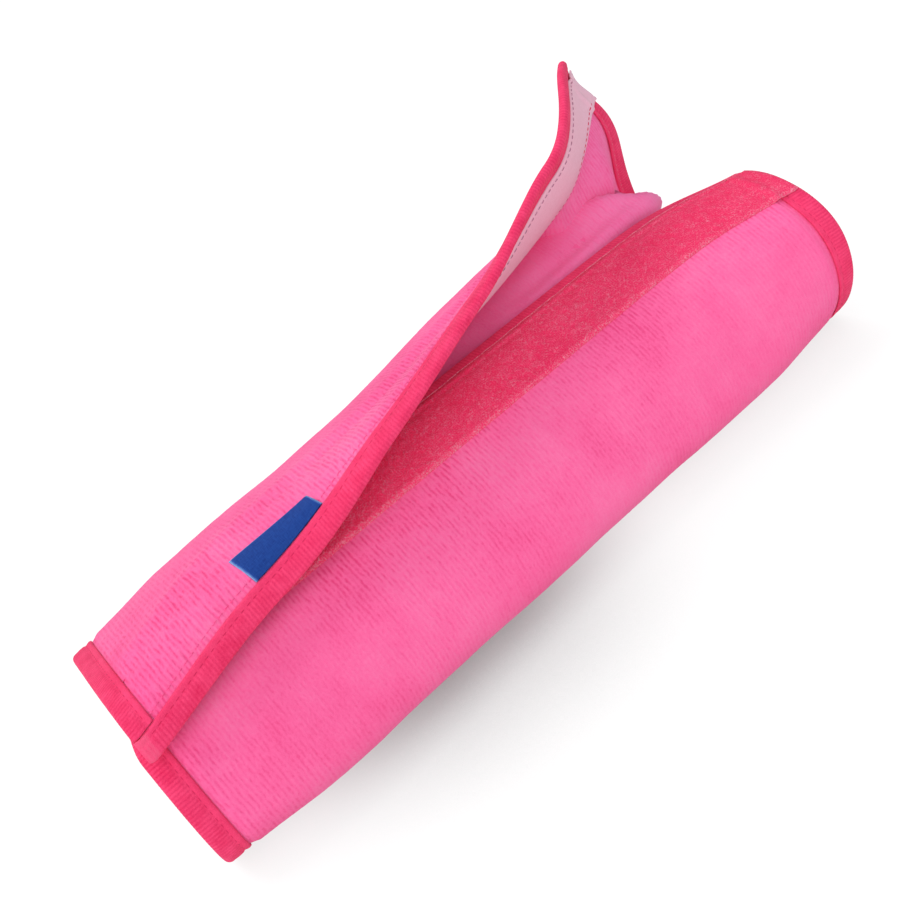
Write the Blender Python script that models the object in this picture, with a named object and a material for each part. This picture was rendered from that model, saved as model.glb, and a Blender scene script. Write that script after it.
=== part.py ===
"""Seat belt pad: a stuffed plush panel wrapped into a sleeve, closed at one end and open at the other.

Every piece is laid out on one curved sheet, the outer face of the pad. A place on it is three lengths:
along, from the closed end; girth, from the middle of the base, positive up the back and negative up
the front; and depth, inwards from the outer face.
"""

import bpy
import numpy as np

# Driving sizes, in metres.
LENGTH = 0.280
FRONT_GIRTH = 0.114  # middle of the base to the front bound edge
BACK_GIRTH = 0.1776  # middle of the base to the bound edge of the flap
PANEL = 0.0013  # plush panel, outer and inner alike
CLEARANCE = 0.0003  # between pieces that touch
PAD_LOFT = 0.0095  # extra thickness that the filling gives
BACK_LOFT = 0.0025  # more of it where the back leans over
SEAM_RISE = 0.020  # over this length the loft grows from a seam
FILL_EASE = 0.0010  # filling to the lining's inner side
END_PINCH = 0.0022  # the outer face draws in this far at both ends
PINCH_REACH = 0.040

FOLD_REACH = 0.025  # the lining's soft fold stands out this far, unless it meets the front first
FOLD_PLACE = 0.104  # girth where it stands out most
FOLD_WIDTH = 0.020
FOLD_LEAN = 0.55  # rise of the fold for each unit that it stands out
FOLD_START = 0.30  # the fold begins at this share of the length
FOLD_FULL = 0.70  # and is full from this one
FOLD_END = 0.025  # it sinks back over this length at the open end
FOLD_SOFTNESS = 0.0050
CREST_RISE = 0.006  # the fold bulges up this far beside the flap
CREST_PLACE = 0.123
CREST_WIDTH = 0.011
ROOM_SLACK = 0.0022  # spare room where soft layers lie over each other
PRESS_SOFTNESS = 0.0020

BINDING_WIDTH = 0.0060  # of each face of a binding
BINDING_THICKNESS = 0.0009
BINDING_ROLL = 0.0020  # how far the folded edge stands out past the panels
ROLL_TURNS = (-50.0, 0.0, 50.0)  # corners of the rolled edge, in degrees from its middle
TAPE_WIDTH = 0.0215
TAPE_THICKNESS = 0.0011
TAPE_END = 0.0010  # a tape runs this far past the panels' ends
TAPE_SLACK = 0.0002  # extra height of a tape over an end binding
RAMP_LENGTH = 0.0030  # a tape climbs onto an end binding over this length
LABEL_LENGTH = 0.030
LABEL_WIDTH = 0.011  # what shows of it at its left end
LABEL_SKEW = 0.005  # it shows this much less at its right end
LABEL_THICKNESS = 0.0007
LABEL_FROM_END = 0.0515

# Lean of the sheet in degrees, from level at the base, at these shares of the way to each long edge.
BACK_SHARES = (0.0, 0.155, 0.227, 0.347, 0.467, 0.587, 0.72, 0.853, 1.0)
BACK_CLOSED = (0.0, 0.0, 40.0, 44.0, 95.0, 162.5, 165.0, 179.0, 238.0)
BACK_OPEN = (0.0, 0.0, 5.0, 32.0, 63.0, 92.0, 108.0, 93.0, 142.0)
FRONT_SHARES = (0.0, 0.085, 0.241, 0.397, 0.552, 0.724, 1.0)
FRONT_CLOSED = (0.0, 0.0, 50.0, 105.0, 132.0, 148.0, 174.0)
FRONT_OPEN = (0.0, 0.0, 50.0, 79.0, 103.0, 144.0, 190.0)

# How far the sleeve has opened at even steps from the closed end to the open one.
BACK_OPENING = (0.0, 0.26, 0.36, 0.60, 0.78, 1.0)
FLAP_OPENING = (0.0, 0.03, 0.02, 0.0, 0.17, 1.0)
LIP_OPENING = (0.0, 0.05, 0.50, 0.74, 1.0, 1.0)
FRONT_OPENING = (0.0, 0.0, 0.0, 0.02, 0.12, 1.0)
FLAP_SHARE = (0.55, 0.90)  # over these shares of the back the flap's own opening takes over
LIP_SHARE = (0.80, 0.95)  # and over these its lip's
TUCK_LEAN = 48.0  # extra lean of the front bound edge where it lies tucked under the closed flap
TUCK_SHARE = 0.66  # share of the front where the tuck begins
TUCK_LENGTH = 0.125  # the tuck fades out over this length
EDGE_SKEW = 0.0026  # the flap's edge lies this far towards the open end

# Colours, as red, green and blue from 0 to 1, and roughness.
PLUSH_PINK = (0.90, 0.10, 0.35)
LINING_PINK = (0.92, 0.13, 0.38)
FILLING_WHITE = (0.85, 0.85, 0.84)
BINDING_PINK = (0.85, 0.04, 0.17)
HOOK_PINK = (0.75, 0.40, 0.50)
LOOP_PINK = (0.72, 0.05, 0.16)
LABEL_BLUE = (0.01, 0.05, 0.28)
CLOTH_ROUGHNESS = 0.9
TAPE_ROUGHNESS = 0.6

# Worked out from the sizes above.
STACK = 2.0 * PANEL + CLEARANCE  # both panels laid together, as at every seam
TAPE_ZONE = BINDING_WIDTH + CLEARANCE + TAPE_WIDTH
FILL_SETBACK = 0.5 * SEAM_RISE
ROOM_MARGIN = 2.0 * CLEARANCE + BINDING_THICKNESS + BINDING_ROLL + ROOM_SLACK  # lining to the front's face

# Fineness of the curved sheet and of its facets.
TABLE_ALONG = 141
TABLE_GIRTH = 321
STEP_ALONG = 0.0165
STEP_GIRTH = 0.0115
FRONT_SAMPLES = 48
NORMAL_STEP = 0.0004
LABEL_STEPS = 3
SHARP_ANGLE = 50.0
TINY = 1e-6


def ease(share):
    """Rise from 0 to 1 with level ends."""
    share = np.clip(share, 0.0, 1.0)
    return share * share * (3.0 - 2.0 * share)


def smooth_curve(x, knots, values):
    """Cubic curve through the values at the knots, with slopes that never overshoot."""
    knots = np.asarray(knots, float)
    values = np.asarray(values, float)
    step = np.diff(knots)
    rise = np.diff(values) / step
    slope = np.zeros(len(knots))
    left, right = rise[:-1], rise[1:]
    same = left * right > 0.0
    total = np.where(same, left + right, 1.0)
    slope[1:-1] = np.where(same, 2.0 * left * right / total, 0.0)
    slope[0], slope[-1] = rise[0], rise[-1]
    x = np.clip(x, knots[0], knots[-1])
    cell = np.clip(np.searchsorted(knots, x, side="right") - 1, 0, len(step) - 1)
    t = (x - knots[cell]) / step[cell]
    start, end = values[cell], values[cell + 1]
    bend = t * t * (3.0 - 2.0 * t)
    lead = t * (1.0 - t) ** 2 * slope[cell] * step[cell]
    trail = t * t * (1.0 - t) * slope[cell + 1] * step[cell]
    return start + (end - start) * bend + lead - trail


def side_sheet(girth, shares, closed, opened, opening, extra, skew, side):
    """Points of one side, (along, girth) tables: each section is its lean summed up along the girth."""
    share = np.linspace(0.0, 1.0, TABLE_GIRTH)
    lean = smooth_curve(share, shares, closed) * (1.0 - opening)
    lean = np.radians(lean + smooth_curve(share, shares, opened) * opening + extra)
    step = girth / (TABLE_GIRTH - 1)
    level = np.cos(lean)
    climb = np.sin(lean)
    start = np.zeros((TABLE_ALONG, 1))
    across = np.hstack([start, np.cumsum((level[:, 1:] + level[:, :-1]) * 0.5 * step, axis=1)])
    height = np.hstack([start, np.cumsum((climb[:, 1:] + climb[:, :-1]) * 0.5 * step, axis=1)])
    spread = 1.0 / (TABLE_ALONG - 1)
    slope = np.hypot(np.gradient(across, spread, axis=0), np.gradient(height, spread, axis=0))
    run = np.sqrt(np.maximum(LENGTH**2 - slope**2, (0.5 * LENGTH) ** 2))
    along = np.cumsum((run[1:] + run[:-1]) * 0.5 * spread, axis=0)
    along = np.vstack([np.zeros((1, TABLE_GIRTH)), along]) + skew * share**2
    return np.stack([along - 0.5 * LENGTH, side * across, height], axis=-1)


def sheet_tables():
    """Outer face of the whole pad and its outward normals, as tables over along and girth.

    It is set so that the origin lies under the middle of the pad's width.
    """
    place = np.linspace(0.0, 1.0, TABLE_ALONG)[:, None]
    share = np.linspace(0.0, 1.0, TABLE_GIRTH)[None, :]
    steps = np.linspace(0.0, 1.0, len(BACK_OPENING))
    first, last = FLAP_SHARE
    flap = ease((share - first) / (last - first))
    back_part = smooth_curve(place, steps, BACK_OPENING)
    flap_part = smooth_curve(place, steps, FLAP_OPENING)
    first, last = LIP_SHARE
    lip = ease((share - first) / (last - first))
    lip_part = smooth_curve(place, steps, LIP_OPENING)
    opening = (back_part * (1.0 - flap) + flap_part * flap) * (1.0 - lip) + lip_part * lip
    back = side_sheet(BACK_GIRTH, BACK_SHARES, BACK_CLOSED, BACK_OPEN, opening, 0.0, EDGE_SKEW, 1.0)
    opening = smooth_curve(place, steps, FRONT_OPENING) + 0.0 * share
    tuck = TUCK_LEAN * (1.0 - ease(place * LENGTH / TUCK_LENGTH))
    tuck = tuck * ease((share - TUCK_SHARE) / (1.0 - TUCK_SHARE))
    front = side_sheet(FRONT_GIRTH, FRONT_SHARES, FRONT_CLOSED, FRONT_OPEN, opening, tuck, 0.0, -1.0)
    sheet = np.concatenate([front[:, :0:-1], back], axis=1)
    sheet[..., 1] -= 0.5 * (sheet[..., 1].min() + sheet[..., 1].max())
    reach = np.linspace(-FRONT_GIRTH, 0.0, TABLE_GIRTH)[:-1]
    reach = np.concatenate([reach, np.linspace(0.0, BACK_GIRTH, TABLE_GIRTH)])
    lengthways = np.gradient(sheet, axis=0)
    crossways = np.gradient(sheet, reach, axis=1)
    normal = np.cross(crossways, lengthways)
    normal /= np.linalg.norm(normal, axis=-1, keepdims=True)
    return reach, sheet, normal


REACH, SHEET, NORMAL = sheet_tables()


def read_table(table, along, girth):
    """Value of a table at a place, straight between its entries."""
    row = np.clip(along / LENGTH, 0.0, 1.0) * (TABLE_ALONG - 1)
    column = np.interp(girth, REACH, np.arange(len(REACH)))
    top = np.minimum(row.astype(int), TABLE_ALONG - 2)
    left = np.minimum(column.astype(int), len(REACH) - 2)
    down = (row - top)[..., None]
    over = (column - left)[..., None]
    upper = table[top, left] * (1.0 - over) + table[top, left + 1] * over
    lower = table[top + 1, left] * (1.0 - over) + table[top + 1, left + 1] * over
    return upper * (1.0 - down) + lower * down


def end_distance(along):
    """Distance from the nearer end of the pad."""
    return np.minimum(along, LENGTH - along)


def sleeve_point(along, girth, depth):
    """Place in space: the outer face, carried on straight past its edges, less the depth."""
    along, girth, depth = np.broadcast_arrays(along, girth, depth)
    along = along.astype(float)
    girth = girth.astype(float)
    inner_along = np.clip(along, 0.0, LENGTH)
    inner_girth = np.clip(girth, -FRONT_GIRTH, BACK_GIRTH)
    point = read_table(SHEET, inner_along, inner_girth)
    normal = read_table(NORMAL, inner_along, inner_girth)
    lengthways = np.zeros_like(normal)
    lengthways[..., 0] = 1.0
    crossways = np.cross(lengthways, normal)
    crossways /= np.linalg.norm(crossways, axis=-1, keepdims=True)
    lengthways = np.cross(normal, crossways)
    past_along = (along - inner_along)[..., None]
    past_girth = (girth - inner_girth)[..., None]
    pinch = END_PINCH * (1.0 - ease(end_distance(inner_along) / PINCH_REACH))
    inwards = (depth + pinch)[..., None]
    return point + lengthways * past_along + crossways * past_girth - normal * inwards


def room_inside(along, girth):
    """Distance from the outer face to the front panel's own outer face at the same place along the pad."""
    samples = np.linspace(-FRONT_GIRTH, -0.3 * FRONT_GIRTH, FRONT_SAMPLES)
    here = sleeve_point(along, girth, 0.0)
    front = sleeve_point(np.asarray(along)[..., None], samples, 0.0)
    gap = np.linalg.norm(here[..., None, 1:] - front[..., 1:], axis=-1).min(axis=-1)
    return np.where(girth > 0.3 * BACK_GIRTH, gap, LENGTH)


def fold_share(along):
    """Strength of the lining's fold: none at the closed end, full near the open one."""
    opened = ease((along / LENGTH - FOLD_START) / (FOLD_FULL - FOLD_START))
    return opened * ease((LENGTH - along - BINDING_WIDTH) / FOLD_END)


def swell(girth, place, width):
    """Rounded rise of height one at a place round the pad."""
    return np.exp(-(((girth - place) / width) ** 2))


def lining_layers(along, girth):
    """Depth of the filled pad and, apart from it, how far the fold stands out of it."""
    from_front = girth + FRONT_GIRTH - TAPE_ZONE
    from_flap = BACK_GIRTH - girth - TAPE_ZONE
    crossways = ease(from_front / SEAM_RISE) * ease(from_flap / SEAM_RISE)
    lengthways = ease((end_distance(along) - BINDING_WIDTH) / SEAM_RISE)
    free = (PAD_LOFT + BACK_LOFT * ease(girth / (0.6 * BACK_GIRTH))) * crossways * lengthways
    room = np.maximum(room_inside(along, girth) - ROOM_MARGIN - STACK, 0.0)
    pressed = -PRESS_SOFTNESS * np.logaddexp(-free / PRESS_SOFTNESS, -room / PRESS_SOFTNESS)
    pad = np.clip(pressed, 0.0, free)
    fold = FOLD_REACH * fold_share(along) * swell(girth, FOLD_PLACE, FOLD_WIDTH) * crossways
    left = np.maximum(room - pad, 0.0)
    fold = fold - FOLD_SOFTNESS * np.logaddexp(0.0, (fold - left) / FOLD_SOFTNESS)
    return STACK + pad, np.maximum(fold, 0.0)


def lining_face(along, girth):
    """Place of the lining's face that touches the belt: the pad's depth and the fold leaning out of it."""
    along, girth = np.broadcast_arrays(along, girth)
    pad, fold = lining_layers(along, girth)
    point = sleeve_point(along, girth, pad)
    point[..., 1] -= fold
    point[..., 2] += FOLD_LEAN * fold
    point[..., 2] += CREST_RISE * fold_share(along) * swell(girth, CREST_PLACE, CREST_WIDTH)
    return point


def lining_point(along, girth, behind):
    """Place behind the lining's face, measured square to it."""
    along, girth = np.broadcast_arrays(along, girth)
    low_along = np.clip(along - NORMAL_STEP, 0.0, LENGTH)
    high_along = np.clip(along + NORMAL_STEP, 0.0, LENGTH)
    low_girth = np.clip(girth - NORMAL_STEP, -FRONT_GIRTH, BACK_GIRTH)
    high_girth = np.clip(girth + NORMAL_STEP, -FRONT_GIRTH, BACK_GIRTH)
    lengthways = lining_face(high_along, girth) - lining_face(low_along, girth)
    crossways = lining_face(along, high_girth) - lining_face(along, low_girth)
    outward = np.cross(crossways, lengthways)
    outward /= np.linalg.norm(outward, axis=-1, keepdims=True)
    return lining_face(along, girth) + outward * np.asarray(behind)[..., None]


def stations(limits, longest):
    """Evenly filled places between the limits, none further apart than the longest step."""
    places = [limits[0]]
    for start, end in zip(limits[:-1], limits[1:]):
        count = int(np.ceil((end - start) / longest - TINY))
        places.extend(start + (end - start) * (index + 1) / count for index in range(count))
    return np.array(places)


def shared_stations():
    """Places along and round the pad that every piece shares, so that their facets lie parallel."""
    from_end = np.array([0.0, BINDING_WIDTH, BINDING_WIDTH + RAMP_LENGTH, BINDING_WIDTH + FILL_SETBACK])
    label = [LABEL_FROM_END, LABEL_FROM_END + LABEL_LENGTH]
    along = np.concatenate([from_end, label, LENGTH - from_end])
    from_edge = np.array([0.0, BINDING_WIDTH, TAPE_ZONE, TAPE_ZONE + FILL_SETBACK])
    fold = FOLD_PLACE + FOLD_WIDTH * np.array([-1.0, -0.5, -0.2, 0.1, 0.4])
    crest = CREST_PLACE + CREST_WIDTH * np.array([0.0, 0.9])
    base = [-FRONT_SHARES[1] * FRONT_GIRTH, BACK_SHARES[1] * BACK_GIRTH]
    girth = np.concatenate([from_edge - FRONT_GIRTH, base, fold, crest, BACK_GIRTH - from_edge])
    return stations(np.sort(along), STEP_ALONG), stations(np.sort(girth), STEP_GIRTH)


ALONG, GIRTH = shared_stations()


def between(places, low, high):
    """The shared places from low to high, with both limits."""
    inside = places[(places > low + TINY) & (places < high - TINY)]
    return np.concatenate([[low], inside, [high]])


def material(name, colour, roughness):
    """Plain cloth finish."""
    made = bpy.data.materials.new(name)
    made.use_nodes = True
    shader = made.node_tree.nodes["Principled BSDF"]
    shader.inputs["Base Color"].default_value = (*colour, 1.0)
    shader.inputs["Roughness"].default_value = roughness
    shader.inputs["Metallic"].default_value = 0.0
    return made


def grid_faces(rows, columns, first, flipped, turned):
    """Two triangles for each cell of a grid of points, along the other diagonal in the turned cells."""
    index = np.arange(rows * columns).reshape(rows, columns) + first
    a, b, c, d = index[:-1, :-1], index[:-1, 1:], index[1:, 1:], index[1:, :-1]
    plain = np.stack([a, b, c, a, c, d], axis=-1)
    other = np.stack([a, b, d, b, c, d], axis=-1)
    faces = np.where(turned[..., None], other, plain).reshape(-1, 3)
    return faces[:, ::-1] if flipped else faces


def rim_faces(rows, columns):
    """Triangles that close the edge between two equal grids of points."""
    index = np.arange(rows * columns).reshape(rows, columns)
    ring = np.concatenate([index[0, :-1], index[:-1, -1], index[-1, :0:-1], index[:0:-1, 0]])
    following = np.roll(ring, -1)
    far = rows * columns
    return np.concatenate([
        np.stack([ring, ring + far, following + far], 1),
        np.stack([ring, following + far, following], 1),
    ])


def add_slab(name, outer, inner, finish, turned=False):
    """One closed body between two equal grids of points, the outer face given first.

    Cells are split along the same diagonal of the sheet in every piece, so that facets of neighbours
    lie parallel: turned marks those whose grid runs backwards over the sheet.
    """
    rows, columns = outer.shape[:2]
    turned = np.broadcast_to(turned, (rows - 1, columns - 1))
    points = np.concatenate([outer.reshape(-1, 3), inner.reshape(-1, 3)])
    faces = np.concatenate([
        grid_faces(rows, columns, 0, False, turned),
        grid_faces(rows, columns, rows * columns, True, turned),
        rim_faces(rows, columns),
    ])
    mesh = bpy.data.meshes.new(name)
    mesh.from_pydata(points.tolist(), [], faces.tolist())
    mesh.update()
    mesh.shade_smooth()
    mesh.set_sharp_from_angle(angle=np.radians(SHARP_ANGLE))
    mesh.materials.append(finish)
    made = bpy.data.objects.new(name, mesh)
    bpy.context.scene.collection.objects.link(made)
    return made


def add_layer(name, along, girth, outer_place, inner_place, finish):
    """A layer of the pad between two faces over a rectangle of the sheet."""
    a, g = np.meshgrid(along, girth, indexing="ij")
    return add_slab(name, outer_place(a, g), inner_place(a, g), finish)


def add_outer_cover(finish):
    """Plush panel that makes the outer face."""
    return add_layer("outer_cover", ALONG, GIRTH, lambda a, g: sleeve_point(a, g, 0.0),
                     lambda a, g: sleeve_point(a, g, PANEL), finish)


def add_inner_lining(finish):
    """Plush panel that faces the belt."""
    return add_layer("inner_lining", ALONG, GIRTH, lambda a, g: lining_point(a, g, PANEL),
                     lining_face, finish)


def add_filling(finish):
    """Soft filling, sealed between the two panels."""
    setback = BINDING_WIDTH + FILL_SETBACK
    along = between(ALONG, setback, LENGTH - setback)
    reach = TAPE_ZONE + FILL_SETBACK
    girth = between(GIRTH, reach - FRONT_GIRTH, BACK_GIRTH - reach)
    return add_layer("filling", along, girth, lambda a, g: sleeve_point(a, g, PANEL + CLEARANCE),
                     lambda a, g: lining_point(a, g, PANEL + FILL_EASE), finish)


def binding_profile():
    """Section of a binding as distance from the edge and depth: outer path, then inner path."""
    near = -CLEARANCE - BINDING_THICKNESS
    far = STACK + CLEARANCE + BINDING_THICKNESS
    middle = 0.5 * STACK
    half = 0.5 * (far - near)
    turn = np.radians(ROLL_TURNS)
    nose_out = -(CLEARANCE + BINDING_ROLL * np.cos(turn))
    nose_depth = middle + half * np.sin(turn)
    outer_out = np.concatenate([[BINDING_WIDTH, 0.0], nose_out, [0.0, BINDING_WIDTH]])
    outer_depth = np.concatenate([[near, near], nose_depth, [far, far]])
    inner_out = np.concatenate([[BINDING_WIDTH, 0.0], np.full(len(turn), -CLEARANCE), [0.0, BINDING_WIDTH]])
    low, high = -CLEARANCE, STACK + CLEARANCE
    inner_depth = np.concatenate([[low, low], np.linspace(0.0, STACK, len(turn)), [high, high]])
    return outer_out, outer_depth, inner_out, inner_depth


def add_long_binding(name, edge, side, finish):
    """Binding folded over a long edge. It runs past both ends, over the end bindings."""
    outer_out, outer_depth, inner_out, inner_depth = binding_profile()
    past = CLEARANCE + BINDING_ROLL
    along = np.concatenate([[-past], ALONG, [LENGTH + past]])[:, None]
    outer = sleeve_point(along, edge - side * outer_out, outer_depth)
    inner = sleeve_point(along, edge - side * inner_out, inner_depth)
    turned = -side * np.diff(outer_out) < 0.0
    if side < 0:
        outer, inner, turned = outer[:, ::-1], inner[:, ::-1], ~turned[::-1]
    return add_slab(name, outer, inner, finish, turned)


def add_end_binding(name, edge, side, finish):
    """Binding folded over an end, between the two long bindings."""
    outer_out, outer_depth, inner_out, inner_depth = binding_profile()
    stop = BINDING_WIDTH + CLEARANCE
    girth = between(GIRTH, stop - FRONT_GIRTH, BACK_GIRTH - stop)[:, None]
    outer = sleeve_point(edge - side * outer_out, girth, outer_depth).swapaxes(0, 1)
    inner = sleeve_point(edge - side * inner_out, girth, inner_depth).swapaxes(0, 1)
    turned = (-side * np.diff(outer_out) < 0.0)[:, None]
    if side < 0:
        outer, inner, turned = outer[::-1], inner[::-1], ~turned[::-1]
    return add_slab(name, outer, inner, finish, turned)


def tape_lift(along):
    """Height of a tape above the panel: it lies on the panel, and on the end bindings at its two ends."""
    over_binding = 1.0 - ease((end_distance(along) - BINDING_WIDTH - CLEARANCE) / RAMP_LENGTH)
    return CLEARANCE + (BINDING_THICKNESS + TAPE_SLACK + CLEARANCE) * over_binding


def tape_places():
    """Places along a tape, with the two ends of its ramp onto each end binding."""
    foot = BINDING_WIDTH + CLEARANCE
    middle = between(ALONG, foot + RAMP_LENGTH, LENGTH - foot - RAMP_LENGTH)
    return np.concatenate([[-TAPE_END, 0.0, foot], middle, [LENGTH - foot, LENGTH, LENGTH + TAPE_END]])


def add_hook_tape(finish):
    """Hook tape on the inner face of the flap, beside its binding."""
    stop = BACK_GIRTH - BINDING_WIDTH - CLEARANCE
    girth = between(GIRTH, stop - TAPE_WIDTH, stop)
    return add_layer("hook_tape", tape_places(), girth,
                     lambda a, g: sleeve_point(a, g, STACK + tape_lift(a)),
                     lambda a, g: sleeve_point(a, g, STACK + tape_lift(a) + TAPE_THICKNESS), finish)


def add_loop_tape(finish):
    """Loop tape on the outer face of the front, beside its binding."""
    start = BINDING_WIDTH + CLEARANCE - FRONT_GIRTH
    girth = between(GIRTH, start, start + TAPE_WIDTH)
    return add_layer("loop_tape", tape_places(), girth,
                     lambda a, g: sleeve_point(a, g, -tape_lift(a) - TAPE_THICKNESS),
                     lambda a, g: sleeve_point(a, g, -tape_lift(a)), finish)


def add_label(finish):
    """Woven label on the outer face of the flap, sewn askew with one long side against the binding."""
    along = between(ALONG, LABEL_FROM_END, LABEL_FROM_END + LABEL_LENGTH)[:, None]
    shown = LABEL_WIDTH - LABEL_SKEW * (along - LABEL_FROM_END) / LABEL_LENGTH
    stop = BACK_GIRTH - BINDING_WIDTH - CLEARANCE
    girth = stop - shown * np.linspace(1.0, 0.0, LABEL_STEPS)
    outer = sleeve_point(along, girth, -CLEARANCE - LABEL_THICKNESS)
    return add_slab("label", outer, sleeve_point(along, girth, -CLEARANCE), finish)


def clear_scene():
    """Empty the scene."""
    for item in list(bpy.data.objects):
        bpy.data.objects.remove(item, do_unlink=True)


def build():
    """All pieces of the pad."""
    clear_scene()
    binding = material("binding", BINDING_PINK, CLOTH_ROUGHNESS)
    add_outer_cover(material("plush", PLUSH_PINK, CLOTH_ROUGHNESS))
    add_inner_lining(material("lining_plush", LINING_PINK, CLOTH_ROUGHNESS))
    add_filling(material("filling", FILLING_WHITE, CLOTH_ROUGHNESS))
    add_long_binding("binding_flap_edge", BACK_GIRTH, 1.0, binding)
    add_long_binding("binding_front_edge", -FRONT_GIRTH, -1.0, binding)
    add_end_binding("binding_left_end", 0.0, -1.0, binding)
    add_end_binding("binding_right_end", LENGTH, 1.0, binding)
    add_hook_tape(material("hook_tape", HOOK_PINK, TAPE_ROUGHNESS))
    add_loop_tape(material("loop_tape", LOOP_PINK, CLOTH_ROUGHNESS))
    add_label(material("label", LABEL_BLUE, TAPE_ROUGHNESS))


build()
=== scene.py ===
"""Looks of the seat belt pad: plush panels, ribbed bindings, hook and loop tapes, label and thread.

Every cloth is laid out on the same curved sheet as the solids. A place on it is given by three lengths:
along, from the closed end; girth, from the middle of the base, positive up the back and negative
up the front; and depth, inwards from the outer face.
"""

import bpy
import numpy as np
from mathutils import Matrix


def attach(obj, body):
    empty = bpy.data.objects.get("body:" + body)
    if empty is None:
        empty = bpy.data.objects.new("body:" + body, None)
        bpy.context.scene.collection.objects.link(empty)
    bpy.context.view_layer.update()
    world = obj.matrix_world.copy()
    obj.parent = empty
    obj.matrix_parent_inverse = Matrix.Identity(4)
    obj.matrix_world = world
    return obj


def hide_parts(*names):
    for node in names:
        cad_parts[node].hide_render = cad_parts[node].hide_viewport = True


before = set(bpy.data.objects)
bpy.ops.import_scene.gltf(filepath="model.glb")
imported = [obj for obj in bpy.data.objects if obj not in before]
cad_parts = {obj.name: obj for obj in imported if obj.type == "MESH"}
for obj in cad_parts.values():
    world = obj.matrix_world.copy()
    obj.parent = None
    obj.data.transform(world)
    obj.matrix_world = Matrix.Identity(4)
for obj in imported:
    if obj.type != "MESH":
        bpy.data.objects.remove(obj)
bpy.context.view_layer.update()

# The pad's own sizes, in metres, as the solids have them.
LENGTH = 0.280
FRONT_GIRTH = 0.114
BACK_GIRTH = 0.1776
PANEL = 0.0013
CLEARANCE = 0.0003
PAD_LOFT = 0.0095
BACK_LOFT = 0.0025
SEAM_RISE = 0.020
END_PINCH = 0.0022
PINCH_REACH = 0.040
FOLD_REACH = 0.025
FOLD_PLACE = 0.104
FOLD_WIDTH = 0.020
FOLD_LEAN = 0.55
FOLD_START = 0.30
FOLD_FULL = 0.70
FOLD_SOFTNESS = 0.0050
CREST_RISE = 0.006
CREST_PLACE = 0.123
CREST_WIDTH = 0.011
LOFT_SHARE = 0.6  # share of the back's girth at which its extra loft is full
ROOM_SLACK = 0.0022
ROOM_SHARE = 0.3  # the room inside is measured beyond this share of each side's girth
PRESS_SOFTNESS = 0.0020
BINDING_WIDTH = 0.0060
BINDING_THICKNESS = 0.0009
BINDING_ROLL = 0.0020
TAPE_WIDTH = 0.0215
TAPE_THICKNESS = 0.0011
TAPE_END = 0.0010
TAPE_SLACK = 0.0002
RAMP_LENGTH = 0.0030
LABEL_LENGTH = 0.030
LABEL_WIDTH = 0.011
LABEL_SKEW = 0.005
LABEL_THICKNESS = 0.0007
LABEL_FROM_END = 0.0515
BACK_SHARES = (0.0, 0.155, 0.227, 0.347, 0.467, 0.587, 0.72, 0.853, 1.0)
BACK_CLOSED = (0.0, 0.0, 40.0, 44.0, 95.0, 162.5, 165.0, 179.0, 238.0)
BACK_OPEN = (0.0, 0.0, 5.0, 32.0, 63.0, 92.0, 108.0, 93.0, 142.0)
FRONT_SHARES = (0.0, 0.085, 0.241, 0.397, 0.552, 0.724, 1.0)
FRONT_CLOSED = (0.0, 0.0, 50.0, 105.0, 132.0, 148.0, 174.0)
FRONT_OPEN = (0.0, 0.0, 50.0, 79.0, 103.0, 144.0, 190.0)
BACK_OPENING = (0.0, 0.26, 0.36, 0.60, 0.78, 1.0)
FLAP_OPENING = (0.0, 0.03, 0.02, 0.0, 0.17, 1.0)
LIP_OPENING = (0.0, 0.05, 0.50, 0.74, 1.0, 1.0)
FRONT_OPENING = (0.0, 0.0, 0.0, 0.02, 0.12, 1.0)
FLAP_SHARE = (0.55, 0.90)
LIP_SHARE = (0.80, 0.95)
TUCK_LEAN = 48.0
TUCK_SHARE = 0.66
TUCK_LENGTH = 0.125
EDGE_SKEW = 0.0026
STACK = 2.0 * PANEL + CLEARANCE
TAPE_ZONE = BINDING_WIDTH + CLEARANCE + TAPE_WIDTH
ROOM_MARGIN = 2.0 * CLEARANCE + BINDING_THICKNESS + BINDING_ROLL + ROOM_SLACK
TABLE_ALONG = 281
TABLE_GIRTH = 321
FRONT_SAMPLES = 48
NORMAL_STEP = 0.0004

# Sizes that only this scene has, fitted to the photograph. The solids don't have them.
FOLD_STOP_GIRTH = (0.095, 0.105, 0.115, 0.125, 0.135)  # at these girths the shown fold is full
FOLD_STOP = (0.276, 0.266, 0.250, 0.231, 0.215)  # up to these places along
FOLD_FALL = 0.011  # and sinks over this length
FOLD_CLOSE = 0.006  # at the latest over this length before the end binding
TUCK_BACK = 0.0034  # the tucked end of the front lies this far inside the closed flap's end
TUCK_RISE = 0.16  # share of the front's girth over which that grows
TUCK_FADE = 0.05  # length over which it ends
LOOP_OVERLAP = 0.0024  # the loop tape's edge lies this far over the hem of the binding
HOOK_END = 0.0016  # the hook tape's cut end at the flap's raised corner

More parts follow.
